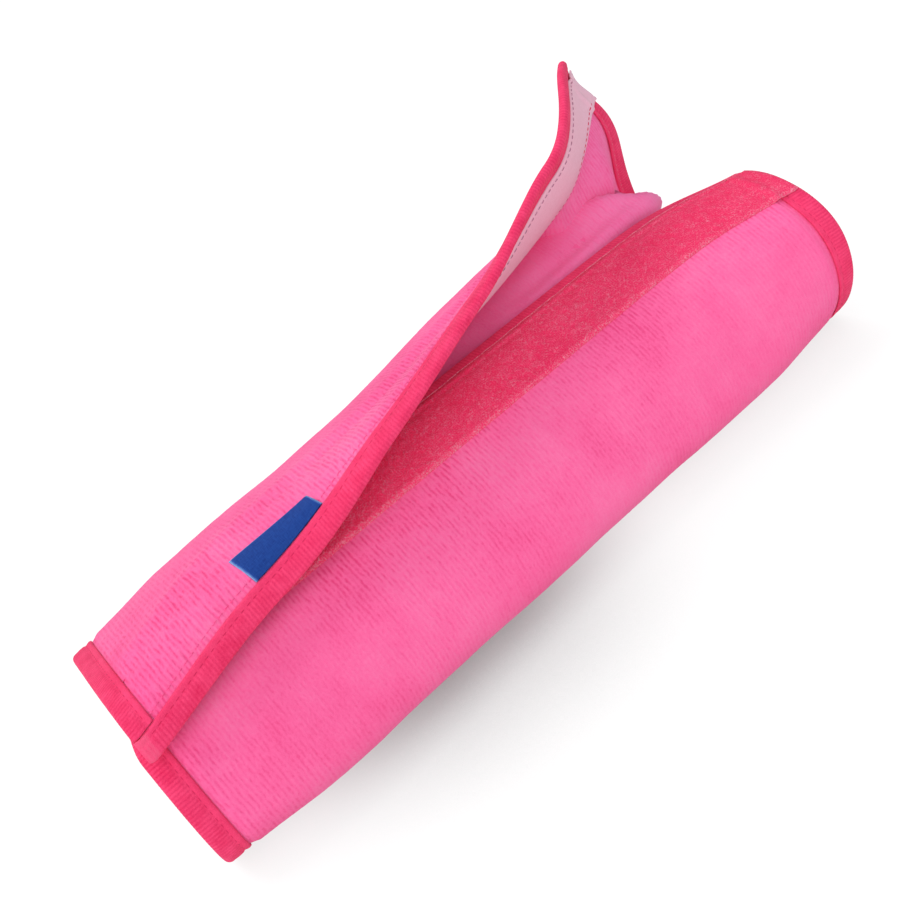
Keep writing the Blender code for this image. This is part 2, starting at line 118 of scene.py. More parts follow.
# Shoulder of the filled pad under the open flap, also only here: how far the lining goes back and up
# there, at these girths.
SHOULDER_GIRTH = (0.090, 0.100, 0.105, 0.110, 0.115, 0.120, 0.125, 0.130, 0.135, 0.140, 0.150)
SHOULDER_BACK = (0.0, -0.0020, -0.0040, -0.0020, 0.0020, 0.0060, 0.0090, 0.0100, 0.0085, 0.0033, 0.0)
SHOULDER_UP = (0.0, 0.0, 0.0010, 0.0020, 0.0015, 0.0010, 0.0010, -0.0030, 0.0010, 0.0033, 0.0)
SHOULDER_END = 0.128  # the filling stops at this girth
SAG_ALONG = (0.244, 0.256, 0.266, 0.276)  # towards the open end the fold sags, by this much at these places
SAG_DOWN = (0.0, 0.0020, 0.0058, 0.0092)
SAG_SPREAD = 1.3  # and round the pad it is this many times as wide as the fold
CREASE_PLACE = 0.1120  # girth of the soft crease between the fold's two ridges
CREASE_WIDTH = 0.0026
CREASE_DEPTH = 0.0022
CREASE_START = 0.175
CREASE_RISE = 0.03
CREASE_END = 0.262
CREASE_FADE = 0.02

# Cloth detail, in metres.
EDGE_PRESS = 0.34  # the stitched bindings press the layers together by this share
PRESS_START = 0.0035  # from this far inside an edge it eases off
PRESS_FADE = 0.0060
PILE_PITCH = 0.00155  # rows of pile, round the pad
PILE_RISE = 0.00012
PILE_HEIGHT = 0.0009  # the plush stands out this far beyond its backing
PILE_EDGE = 0.0035  # and sinks to the backing over this length beside a binding
LINING_PILE = 0.0007  # height of the lining's pile
WRINKLE_HEIGHT = 0.0009  # wrinkles over the lining's fold
SWELL_HEIGHT = 0.0007  # soft unevenness of the filled pad
GATHER_HEIGHT = 0.0006  # gathers that run in from the end bindings
GATHER_REACH = 0.011
PUCKER_DEPTH = 0.0009  # dents over the stitch rows of the hook tape
PUCKER_WIDTH = 0.0013
RIDGE_HEIGHT = 0.0010  # ridge where the padding starts beside the hook tape
RIDGE_WIDTH = 0.004
RIDGE_INSET = 0.003
RIB_PITCH = 0.0013  # ribs of the binding
RIB_RISE = 0.00006
GROOVE_PLACE = 0.64  # stitched groove of a binding, as a share of its width
GROOVE_WIDTH = 0.07
GROOVE_DEPTH = 0.45  # groove, cushion and hem as shares of the binding's thickness
CROWN_HEIGHT = 0.25
HEM_DROP = 0.55
HEM_PLACE = 0.93
NOSE_TURN = 80.0  # degrees that the rolled edge turns to each side
CUT_LENGTH = 0.0035  # raw end of a binding
THREAD = 0.00019  # radius of the sewing thread
SELVEDGE = 0.00028  # radius of the loop tape's edge thread
STITCH_PITCH = 0.0027
STITCH_LENGTH = 0.0020
STITCH_INSET = 0.0020  # from a tape's edges
STITCH_START = 0.0040  # from the ends of the pad
HOOK_SINK = 0.0002  # hook tape's stitches are pulled in by this much
FUZZ_RISE = 0.00024  # loops of the loop tape
NOISE_CELLS = 64

# Grids: how many cells each cloth has along and round the pad, and how many of them one cell of
# its back spans.
COVER_CELLS = (816, 104)
COVER_BACK = (8, 2)
LINING_CELLS = (416, 168)
LINING_BACK = (4, 4)
TAPE_CELLS = (560, 48)
TAPE_BACK = (4, 4)
HOOK_CELLS = (280, 24)
FILLING_CELLS = (96, 60)
RIB_SAMPLES = 4  # rows of points for each rib of a binding
SECTION_POINTS = 9  # points on each leg of a binding's section
BINDING_BACK = (8, 3)
LABEL_CELLS = (60, 24)
THREAD_SIDES = 6
WAVE_TURN = np.pi / 10.0  # one band of Blender's wave texture, in its own coordinates

# Colours, linear red, green and blue.
PLUSH_DEEP = (0.84, 0.052, 0.215)
PLUSH_PINK = (0.965, 0.130, 0.355)
PLUSH_LIGHT = (0.98, 0.225, 0.465)
# The lining is the same plush as the cover but painted paler here: painted light that makes up for the shade
# it lies in inside the pad.
LINING_DEEP = (0.93, 0.068, 0.265)
LINING_PINK = (0.985, 0.180, 0.445)
LINING_LIGHT = (0.99, 0.285, 0.560)
BINDING_PINK = (0.94, 0.062, 0.190)
BINDING_DEEP = (0.74, 0.016, 0.095)
BINDING_CUT = (0.93, 0.13, 0.26)
LOOP_DEEP = (0.90, 0.013, 0.095)
LOOP_PINK = (0.97, 0.054, 0.180)
LOOP_LIGHT = (0.99, 0.30, 0.42)
HOOK_PINK = (0.88, 0.53, 0.66)
HOOK_DEEP = (0.82, 0.45, 0.58)
LABEL_BLUE = (0.004, 0.032, 0.21)
LABEL_LIGHT = (0.012, 0.070, 0.34)
LABEL_EDGE = (0.22, 0.38, 0.68)
THREAD_PINK = (0.66, 0.020, 0.105)
THREAD_PALE = (0.95, 0.30, 0.42)
THREAD_GREY = (0.68, 0.33, 0.46)
THREAD_DARK = (0.30, 0.08, 0.16)
FIBRE_WHITE = (0.85, 0.85, 0.84)
FIBRE_GREY = (0.70, 0.70, 0.69)
FLOOR_WHITE = (0.80, 0.80, 0.80)

# Camera, solved on the photograph: place of its look point, direction, distance and lens in pixels of 924.
LOOK_POINT = np.array([-0.00432, -0.00690, 0.0350])
AZIMUTH = -20.745
ELEVATION = 34.038
ROLL = -28.092
DISTANCE = 0.38702
FOCAL_PIXELS = 1140.56
IMAGE_PIXELS = 924.0
SENSOR = 36.0

# Floor and lights. The floor is seen as a white glow that dims near the pad, deepest at one place
# along X. That place and its width were fitted to the photograph; the lights don't cast it so.
FLOOR_SIZE = 12.0
FLOOR_SEEN = 0.14  # the diffuse share of what is seen, which takes the lights' own shadow
FLOOR_GLOW = 0.92  # the glow where nothing stands near
SHADE_DIRECTION = (-0.12, 0.72, 0.68)
SHADE_REACH = 0.13
SHADE_SAMPLES = 16
SHADE_RANGE = (0.18, 0.74)  # open share where the shade is deepest, and where it ends
SHADE_FLOOR = (0.30, 0.78)  # glow in the deepest shade, at that place and towards the ends
SHADE_PLACE = -0.045
SHADE_WIDTH = (0.010, 0.085)
SKY_LEVEL = 0.40
KEY_DIRECTION = (-0.35, 0.75, 1.15)
KEY_SPREAD = 34.0
KEY_POWER = 1.54
FILL_DIRECTION = (-0.45, -0.85, 0.75)
FILL_SPREAD = 80.0
FILL_POWER = 1.68

HOOK_STITCH_ROWS = (
    BACK_GIRTH - BINDING_WIDTH - CLEARANCE - STITCH_INSET,
    BACK_GIRTH - TAPE_ZONE + STITCH_INSET,
)


def ease(share):
    """Rise from 0 to 1 with level ends: three times the square less twice the cube."""
    share = np.clip(share, 0.0, 1.0)
    return share * share * (3.0 - 2.0 * share)


def smooth_curve(x, knots, values):
    """Cubic curve through the values at the knots, with slopes that never overshoot."""
    knots = np.asarray(knots, float)
    values = np.asarray(values, float)
    step = np.diff(knots)
    rise = np.diff(values) / step
    slope = np.zeros(len(knots))
    left, right = rise[:-1], rise[1:]
    same = left * right > 0.0
    total = np.where(same, left + right, 1.0)
    slope[1:-1] = np.where(same, 2.0 * left * right / total, 0.0)
    slope[0], slope[-1] = rise[0], rise[-1]
    x = np.clip(x, knots[0], knots[-1])
    cell = np.clip(np.searchsorted(knots, x, side="right") - 1, 0, len(step) - 1)
    t = (x - knots[cell]) / step[cell]
    start, end = values[cell], values[cell + 1]
    bend = t * t * (3.0 - 2.0 * t)
    lead = t * (1.0 - t) ** 2 * slope[cell] * step[cell]
    trail = t * t * (1.0 - t) * slope[cell + 1] * step[cell]
    return start + (end - start) * bend + lead - trail


def side_sheet(girth, shares, closed, opened, opening, extra, skew, side):
    """Points of one side, (along, girth) tables: each section is its lean summed up along the girth."""
    share = np.linspace(0.0, 1.0, TABLE_GIRTH)
    lean = smooth_curve(share, shares, closed) * (1.0 - opening)
    lean = np.radians(lean + smooth_curve(share, shares, opened) * opening + extra)
    step = girth / (TABLE_GIRTH - 1)
    level = np.cos(lean)
    climb = np.sin(lean)
    start = np.zeros((TABLE_ALONG, 1))
    across = np.hstack([start, np.cumsum((level[:, 1:] + level[:, :-1]) * 0.5 * step, axis=1)])
    height = np.hstack([start, np.cumsum((climb[:, 1:] + climb[:, :-1]) * 0.5 * step, axis=1)])
    spread = 1.0 / (TABLE_ALONG - 1)
    slope = np.hypot(np.gradient(across, spread, axis=0), np.gradient(height, spread, axis=0))
    run = np.sqrt(np.maximum(LENGTH**2 - slope**2, (0.5 * LENGTH) ** 2))
    along = np.cumsum((run[1:] + run[:-1]) * 0.5 * spread, axis=0)
    along = np.vstack([np.zeros((1, TABLE_GIRTH)), along]) + skew * share**2
    return np.stack([along - 0.5 * LENGTH, side * across, height], axis=-1)


def sheet_tables():
    """Outer face of the whole pad and its outward normals, as tables over along and girth."""
    place = np.linspace(0.0, 1.0, TABLE_ALONG)[:, None]
    share = np.linspace(0.0, 1.0, TABLE_GIRTH)[None, :]
    steps = np.linspace(0.0, 1.0, len(BACK_OPENING))
    first, last = FLAP_SHARE
    flap = ease((share - first) / (last - first))
    back_part = smooth_curve(place, steps, BACK_OPENING)
    flap_part = smooth_curve(place, steps, FLAP_OPENING)
    first, last = LIP_SHARE
    lip = ease((share - first) / (last - first))
    lip_part = smooth_curve(place, steps, LIP_OPENING)
    opening = (back_part * (1.0 - flap) + flap_part * flap) * (1.0 - lip) + lip_part * lip
    back = side_sheet(BACK_GIRTH, BACK_SHARES, BACK_CLOSED, BACK_OPEN, opening, 0.0, EDGE_SKEW, 1.0)
    opening = smooth_curve(place, steps, FRONT_OPENING) + 0.0 * share
    tuck = TUCK_LEAN * (1.0 - ease(place * LENGTH / TUCK_LENGTH))
    tuck = tuck * ease((share - TUCK_SHARE) / (1.0 - TUCK_SHARE))
    front = side_sheet(FRONT_GIRTH, FRONT_SHARES, FRONT_CLOSED, FRONT_OPEN, opening, tuck, 0.0, -1.0)
    sheet = np.concatenate([front[:, :0:-1], back], axis=1)
    sheet[..., 1] -= 0.5 * (sheet[..., 1].min() + sheet[..., 1].max())
    reach = np.linspace(-FRONT_GIRTH, 0.0, TABLE_GIRTH)[:-1]
    reach = np.concatenate([reach, np.linspace(0.0, BACK_GIRTH, TABLE_GIRTH)])
    lengthways = np.gradient(sheet, axis=0)
    crossways = np.gradient(sheet, reach, axis=1)
    normal = np.cross(crossways, lengthways)
    normal /= np.linalg.norm(normal, axis=-1, keepdims=True)
    return reach, sheet, normal


REACH, SHEET, NORMAL = sheet_tables()


def read_table(table, along, girth):
    """Value of a table at a place, straight between its entries."""
    row = np.clip(along / LENGTH, 0.0, 1.0) * (TABLE_ALONG - 1)
    column = np.interp(girth, REACH, np.arange(len(REACH)))
    top = np.minimum(row.astype(int), TABLE_ALONG - 2)
    left = np.minimum(column.astype(int), len(REACH) - 2)
    down = (row - top)[..., None]
    over = (column - left)[..., None]
    upper = table[top, left] * (1.0 - over) + table[top, left + 1] * over
    lower = table[top + 1, left] * (1.0 - over) + table[top + 1, left + 1] * over
    return upper * (1.0 - down) + lower * down


def end_distance(along):
    """Distance from the nearer end of the pad."""
    return np.minimum(along, LENGTH - along)


def edge_distance(girth):
    """Distance from the nearer long edge of the pad."""
    return np.minimum(girth + FRONT_GIRTH, BACK_GIRTH - girth)


def sleeve_point(along, girth, depth):
    """Place in space: the outer face, carried on straight past its edges, less the depth along its normal.

    Near an edge the depth is drawn in towards the middle of the two panels, as the stitched binding does it.
    """
    along, girth, depth = np.broadcast_arrays(along, girth, depth)
    along = along.astype(float)
    girth = girth.astype(float)
    inner_along = np.clip(along, 0.0, LENGTH)
    inner_girth = np.clip(girth, -FRONT_GIRTH, BACK_GIRTH)
    point = read_table(SHEET, inner_along, inner_girth)
    tucked = ease((-inner_girth / FRONT_GIRTH - TUCK_SHARE) / TUCK_RISE)
    tucked = tucked * (1.0 - ease(inner_along / TUCK_FADE))
    point[..., 0] += TUCK_BACK * tucked
    normal = read_table(NORMAL, inner_along, inner_girth)
    lengthways = np.zeros_like(normal)
    lengthways[..., 0] = 1.0
    crossways = np.cross(lengthways, normal)
    crossways /= np.linalg.norm(crossways, axis=-1, keepdims=True)
    lengthways = np.cross(normal, crossways)
    past_along = (along - inner_along)[..., None]
    past_girth = (girth - inner_girth)[..., None]
    pinch = END_PINCH * (1.0 - ease(end_distance(inner_along) / PINCH_REACH))
    edge = np.minimum(end_distance(inner_along), edge_distance(inner_girth))
    press = 1.0 - EDGE_PRESS * (1.0 - ease((edge - PRESS_START) / PRESS_FADE))
    inwards = (0.5 * STACK + (depth - 0.5 * STACK) * press + pinch)[..., None]
    return point + lengthways * past_along + crossways * past_girth - normal * inwards


def room_inside(along, girth):
    """Least distance to points down the front panel's outer face, at the same place along the pad."""
    samples = np.linspace(-FRONT_GIRTH, -ROOM_SHARE * FRONT_GIRTH, FRONT_SAMPLES)
    rows = np.asarray(along)[:, :1]
    here = sleeve_point(along, girth, 0.0)[..., 1:]
    front = sleeve_point(rows, samples, 0.0)[..., 1:]
    gap = np.full(here.shape[:-1], LENGTH)
    for index in range(FRONT_SAMPLES):
        apart = here - front[:, index][:, None]
        gap = np.minimum(gap, np.hypot(apart[..., 0], apart[..., 1]))
    return np.where(girth > ROOM_SHARE * BACK_GIRTH, gap, LENGTH)


def fold_share(along, girth):
    """Strength of the fold: eased up along the pad, then eased down past its stop and before the end."""
    opened = ease((along / LENGTH - FOLD_START) / (FOLD_FULL - FOLD_START))
    stop = smooth_curve(girth, FOLD_STOP_GIRTH, FOLD_STOP)
    falling = ease((stop + FOLD_FALL - along) / FOLD_FALL)
    return opened * falling * ease((LENGTH - along - BINDING_WIDTH) / FOLD_CLOSE)


def swell(girth, place, width):
    """Rounded rise of height one: e to the power of less the squared distance from its place in widths."""
    return np.exp(-(((girth - place) / width) ** 2))


def lining_face(along, girth):
    """Place of the lining's face that touches the belt.

    The pad's loft is eased in from the seams and kept within the room inside. The fold is a swell that
    goes forward and leans up, with a crest, a sag towards the open end and a shoulder added to it.
    """
    from_front = girth + FRONT_GIRTH - TAPE_ZONE
    from_flap = BACK_GIRTH - girth - TAPE_ZONE
    crossways = ease(from_front / SEAM_RISE) * ease(from_flap / SEAM_RISE)
    lengthways = ease((end_distance(along) - BINDING_WIDTH) / SEAM_RISE)
    share = fold_share(along, girth)
    free = (PAD_LOFT + BACK_LOFT * ease(girth / (LOFT_SHARE * BACK_GIRTH))) * crossways * lengthways
    room = np.maximum(room_inside(along, girth) - ROOM_MARGIN - STACK, 0.0)
    pressed = -PRESS_SOFTNESS * np.logaddexp(-free / PRESS_SOFTNESS, -room / PRESS_SOFTNESS)
    pad = np.clip(pressed, 0.0, free)
    fold = FOLD_REACH * share * swell(girth, FOLD_PLACE, FOLD_WIDTH) * crossways
    left = np.maximum(room - pad, 0.0)
    fold = np.maximum(fold - FOLD_SOFTNESS * np.logaddexp(0.0, (fold - left) / FOLD_SOFTNESS), 0.0)
    point = sleeve_point(along, girth, STACK + pad)
    point[..., 1] -= fold
    point[..., 2] += FOLD_LEAN * fold
    point[..., 2] += CREST_RISE * share * swell(girth, CREST_PLACE, CREST_WIDTH)
    sag = swell(girth, FOLD_PLACE, SAG_SPREAD * FOLD_WIDTH) * crossways
    point[..., 2] -= share * sag * smooth_curve(along, SAG_ALONG, SAG_DOWN)
    point[..., 1] += share * smooth_curve(girth, SHOULDER_GIRTH, SHOULDER_BACK)
    point[..., 2] += share * smooth_curve(girth, SHOULDER_GIRTH, SHOULDER_UP)
    return point


def lining_point(along, girth, behind):
    """Place behind the lining's face, measured square to it."""
    low_along = np.clip(along - NORMAL_STEP, 0.0, LENGTH)
    high_along = np.clip(along + NORMAL_STEP, 0.0, LENGTH)
    low_girth = np.clip(girth - NORMAL_STEP, -FRONT_GIRTH, BACK_GIRTH)
    high_girth = np.clip(girth + NORMAL_STEP, -FRONT_GIRTH, BACK_GIRTH)
    lengthways = lining_face(high_along, girth) - lining_face(low_along, girth)
    crossways = lining_face(along, high_girth) - lining_face(along, low_girth)
    outward = np.cross(crossways, lengthways)
    outward /= np.linalg.norm(outward, axis=-1, keepdims=True)
    return lining_face(along, girth) + outward * np.asarray(behind)[..., None]


def uneven(x, y, seed):
    """Smooth random field from -1 to 1: random values on a unit grid, eased between its points."""
    table = np.random.default_rng(seed).uniform(-1.0, 1.0, (NOISE_CELLS, NOISE_CELLS))
    x, y = np.broadcast_arrays(x, y)
    column, row = np.floor(x).astype(int), np.floor(y).astype(int)
    over, down = ease(x - column), ease(y - row)
    left, right = column % NOISE_CELLS, (column + 1) % NOISE_CELLS
    top, bottom = row % NOISE_CELLS, (row + 1) % NOISE_CELLS
    upper = table[top, left] * (1.0 - over) + table[top, right] * over
    lower = table[bottom, left] * (1.0 - over) + table[bottom, right] * over
    return upper * (1.0 - down) + lower * down


def put_mesh(name, points, quads, triangles, uv, values):
    """Mesh object of points and faces, shaded smooth, with a UV map and named values for its points."""
    mesh = bpy.data.meshes.new(name)
    loops = np.concatenate([quads.ravel(), triangles.ravel()]).astype(np.int32)
    totals = np.concatenate([np.full(len(quads), 4), np.full(len(triangles), 3)]).astype(np.int32)
    starts = np.concatenate([[0], np.cumsum(totals)[:-1]]).astype(np.int32)
    mesh.vertices.add(len(points))
    mesh.vertices.foreach_set("co", points.astype(np.float32).ravel())
    mesh.loops.add(len(loops))
    mesh.loops.foreach_set("vertex_index", loops)
    mesh.polygons.add(len(totals))
    mesh.polygons.foreach_set("loop_start", starts)
    mesh.update(calc_edges=True)
    layer = mesh.uv_layers.new(name="sheet")
    layer.data.foreach_set("uv", uv[loops].astype(np.float32).ravel())
    for key, value in values.items():
        mesh.attributes.new(key, "FLOAT", "POINT").data.foreach_set("value", value.astype(np.float32))
    mesh.shade_smooth()
    mesh.validate()
    made = bpy.data.objects.new(name, mesh)
    bpy.context.scene.collection.objects.link(made)
    return made


def grid_quads(index):
    """One face for each cell of a grid of point numbers."""
    return np.stack([index[:-1, :-1], index[:-1, 1:], index[1:, 1:], index[1:, :-1]], axis=-1).reshape(-1, 4)


def hem(fine, coarse):
    """Triangles between a finely and a coarsely divided edge that run side by side."""
    count = len(coarse) - 1
    each = (len(fine) - 1) // count
    half = each // 2
    cell = np.arange(count)
    first = (cell[:, None] * each + np.arange(half)).ravel()
    second = (cell[:, None] * each + np.arange(half, each)).ravel()
    near = np.repeat(coarse[:-1], half)
    far = np.repeat(coarse[1:], each - half)
    middle = fine[cell * each + half]
    return np.concatenate([
        np.stack([fine[first], near, fine[first + 1]], 1),
        np.stack([middle, coarse[:-1], coarse[1:]], 1),
        np.stack([fine[second], far, fine[second + 1]], 1),
    ])


def put_cloth(name, face, back, uv, back_uv, values):
    """One closed layer of cloth: a fine grid for the face that shows, and a coarser one behind it."""
    rows, columns = face.shape[:2]
    index = np.arange(rows * columns).reshape(rows, columns)
    behind = np.arange(back.shape[0] * back.shape[1]).reshape(back.shape[:2]) + rows * columns
    quads = np.concatenate([grid_quads(index), grid_quads(behind)[:, ::-1]])
    triangles = np.concatenate([
        hem(index[0], behind[0]),
        hem(index[:, -1], behind[:, -1]),
        hem(index[-1, ::-1], behind[-1, ::-1]),
        hem(index[::-1, 0], behind[::-1, 0]),
    ])
    points = np.concatenate([face.reshape(-1, 3), back.reshape(-1, 3)])
    places = np.concatenate([uv.reshape(-1, 2), back_uv.reshape(-1, 2)])
    blank = np.zeros(back.shape[0] * back.shape[1])
    values = {key: np.concatenate([value.ravel(), blank]) for key, value in values.items()}
    return put_mesh(name, points, quads, triangles, places, values)


def put_panel(name, face, back, grid, values):
    """A layer of cloth whose UV map is its place on the sheet, along and girth."""
    a, g, back_a, back_g = grid
    return put_cloth(name, face, back, np.stack([a, g], -1), np.stack([back_a, back_g], -1), values)


def cloth_grid(along, girth, cells, spans):
    """Grids of along and girth between limits, for a cloth's face and, with wider cells, for its back."""
    a = np.linspace(*along, cells[0] + 1)[:, None] + np.zeros(cells[1] + 1)
    g = np.linspace(*girth, cells[1] + 1) + np.zeros((cells[0] + 1, 1))
    return a, g, a[:: spans[0], :: spans[1]], g[:: spans[0], :: spans[1]]


def rest_on_floor(points):
    """The points with none of them under the surface that the pad lies on."""
    points[..., 2] = np.maximum(points[..., 2], 0.0)
    return points


def brush(along, girth, seed):
    """Strength from 0 to 1 of the rows of pile: random patches, and more near tapes and closed end."""
    patch = np.clip(0.40 + 0.85 * uneven(along / 0.026, girth / 0.018, seed), 0.0, 1.0)
    near_edge = np.exp(-np.maximum(edge_distance(girth) - TAPE_ZONE, 0.0) / 0.013)
    near_end = np.exp(-np.maximum(along - BINDING_WIDTH, 0.0) / 0.030)
    return np.clip(0.12 + 0.34 * patch + 0.62 * np.maximum(near_edge, 0.7 * near_end), 0.0, 1.0)


def pile(along, girth, seed):
    """Height about 0.5 of the pile: a fine random field and a coarse one, added up."""
    coarse = uneven(along / 0.0045, girth / 0.0060, seed)
    fine = uneven(along / 0.0011, girth / 0.0042, seed + 2)
    return 0.5 + 0.3 * fine + 0.2 * coarse


def cover_relief(along, girth):
    """How far the plush stands out of the sheet, and the height of its pile.

    Pile eased in from the bindings, plus random swells over the padding and gathers at the ends, less
    a swell along each stitch row, plus one beside the hook tape, and nothing under the loop tape.
    """
    to_binding = np.minimum(end_distance(along), edge_distance(girth)) - BINDING_WIDTH
    open_ground = ease(to_binding / PILE_EDGE)
    from_end = end_distance(along) - BINDING_WIDTH
    padded = ease((edge_distance(girth) - TAPE_ZONE) / 0.012) * ease(from_end / 0.02)
    waves = 0.65 * uneven(along / 0.045, girth / 0.030, 11) + 0.35 * uneven(along / 0.017, girth / 0.014, 12)
    gather = uneven(girth / 0.0065, along / 0.04, 13) * np.exp(-np.maximum(from_end, 0.0) / GATHER_REACH)
    height = pile(along, girth, 21)
    relief = PILE_HEIGHT * open_ground * 0.86 + PILE_RISE * (height - 0.5) * open_ground
    relief = relief + SWELL_HEIGHT * waves * padded + GATHER_HEIGHT * gather * open_ground
    pucker = 0.75 + 0.25 * np.cos(2.0 * np.pi * along / STITCH_PITCH)
    for row in HOOK_STITCH_ROWS:
        dent = swell(girth, row, PUCKER_WIDTH) * pucker * ease(end_distance(along) / 0.012)
        relief = relief - PUCKER_DEPTH * dent
    ridge = swell(girth, BACK_GIRTH - TAPE_ZONE - RIDGE_INSET, RIDGE_WIDTH)
    relief = relief + RIDGE_HEIGHT * ridge * ease(to_binding / 0.01)
    under_loop = ease((-FRONT_GIRTH + TAPE_ZONE + 0.0008 - girth) / 0.0016)
    return relief * (1.0 - under_loop), height


def add_cover():
    """Outer plush panel: the sheet with its relief, closed by a plain backing."""
    grid = cloth_grid((0.0, LENGTH), (-FRONT_GIRTH, BACK_GIRTH), COVER_CELLS, COVER_BACK)
    a, g, back_a, back_g = grid
    relief, height = cover_relief(a, g)
    face = rest_on_floor(sleeve_point(a, g, -relief))
    back = sleeve_point(back_a, back_g, PANEL)
    brushed = 0.6 * uneven(a / 0.034, g / 0.026, 31) + 0.4 * uneven(a / 0.011, g / 0.014, 32)
    values = {"pile": height, "rows": brush(a, g, 33), "brushed": 0.5 + 0.5 * brushed}
    return put_panel("plush_cover", face, back, grid, values)


def add_lining():
    """Inner plush panel, with the soft fold that shows between the flap and the front edge."""
    grid = cloth_grid((0.0, LENGTH), (BACK_GIRTH, -FRONT_GIRTH), LINING_CELLS, LINING_BACK)
    a, g, back_a, back_g = grid
    height = pile(a, g, 41)
    to_binding = np.minimum(end_distance(a), edge_distance(g)) - BINDING_WIDTH
    relief = LINING_PILE * ease(to_binding / PILE_EDGE) * (0.6 + 0.4 * height)
    relief = relief * ease((BACK_GIRTH - TAPE_ZONE - g) / 0.0015)
    wrinkle = uneven(a / 0.028, g / 0.009, 42) * ease((a / LENGTH - 0.3) / 0.3) * swell(g, 0.115, 0.022)
    relief = relief + WRINKLE_HEIGHT * wrinkle
    crease = ease((a - CREASE_START) / CREASE_RISE) * ease((CREASE_END - a) / CREASE_FADE)
    relief = relief - CREASE_DEPTH * crease * swell(g, CREASE_PLACE, CREASE_WIDTH)
    face = lining_point(a, g, -relief)
    back = lining_point(back_a, back_g, np.full(back_a.shape, PANEL))
    brushed = 0.6 * uneven(a / 0.030, g / 0.024, 51) + 0.4 * uneven(a / 0.009, g / 0.012, 52)
    values = {"pile": height, "rows": brush(a, g, 53), "brushed": 0.5 + 0.5 * brushed}
    return put_panel("plush_lining", face, back, grid, values)


def add_filling():
    """Soft filling: the space between the two panels, sealed all round."""
    along = (BINDING_WIDTH + 0.5 * SEAM_RISE, LENGTH - BINDING_WIDTH - 0.5 * SEAM_RISE)
    girth = (TAPE_ZONE + 0.5 * SEAM_RISE - FRONT_GIRTH, SHOULDER_END)
    grid = cloth_grid(along, girth, FILLING_CELLS, (2, 2))
    a, g, back_a, back_g = grid
    face = sleeve_point(a, g, PANEL + CLEARANCE)
    back = lining_point(back_a, back_g, np.full(back_a.shape, PANEL + 0.001))
    return put_panel("filling_wad", face, back, grid, {})


def binding_section():
    """Section of a binding as distance from the edge and depth, outer path then inner path, point for point.

    Each leg is a soft cushion between the rolled edge and a stitched groove, then a narrow turned hem.
    """
    near = -CLEARANCE - BINDING_THICKNESS
    far = STACK + CLEARANCE + BINDING_THICKNESS
    out = np.linspace(1.0, 0.0, SECTION_POINTS)
    hem_drop = HEM_DROP * BINDING_THICKNESS * ease((out - HEM_PLACE) / (1.0 - HEM_PLACE))
    groove = GROOVE_DEPTH * BINDING_THICKNESS * swell(out, GROOVE_PLACE, GROOVE_WIDTH)
    crown = CROWN_HEIGHT * BINDING_THICKNESS * np.sin(np.pi * np.clip(out / GROOVE_PLACE, 0.0, 1.0))
    sink = hem_drop + groove - crown
    turn = np.radians(np.linspace(-NOSE_TURN, NOSE_TURN, 2 * SECTION_POINTS - 5))
    middle = 0.5 * STACK
    half = 0.5 * (far - near)
    leg = BINDING_WIDTH * out
    nose = -(CLEARANCE + BINDING_ROLL * np.cos(turn))
    outer_out = np.concatenate([leg, nose, leg[::-1]])
    outer_depth = np.concatenate([near + sink, middle + half * np.sin(turn), (far - sink)[::-1]])
    low = np.full(len(out), -CLEARANCE)
    high = np.full(len(out), STACK + CLEARANCE)
    inner_out = np.concatenate([leg, np.full(len(turn), -CLEARANCE), leg[::-1]])
    inner_depth = np.concatenate([low, np.linspace(0.0, STACK, len(turn)), high])
    leg_rib = ease((0.60 - out) / 0.10)
    ribbed = np.concatenate([leg_rib, np.ones(len(turn)), leg_rib[::-1]])
    return outer_out, outer_depth, inner_out, inner_depth, ribbed


def rib_height(run):
    """Ribs of the knit binding, from 0 in a groove to 1 on a rib: a wandering cosine to the power of 0.6."""
    wave = 0.5 + 0.5 * np.cos(2.0 * np.pi * (run / RIB_PITCH + 0.06 * uneven(run / 0.004, 0.0 * run, 61)))
    return wave**0.6


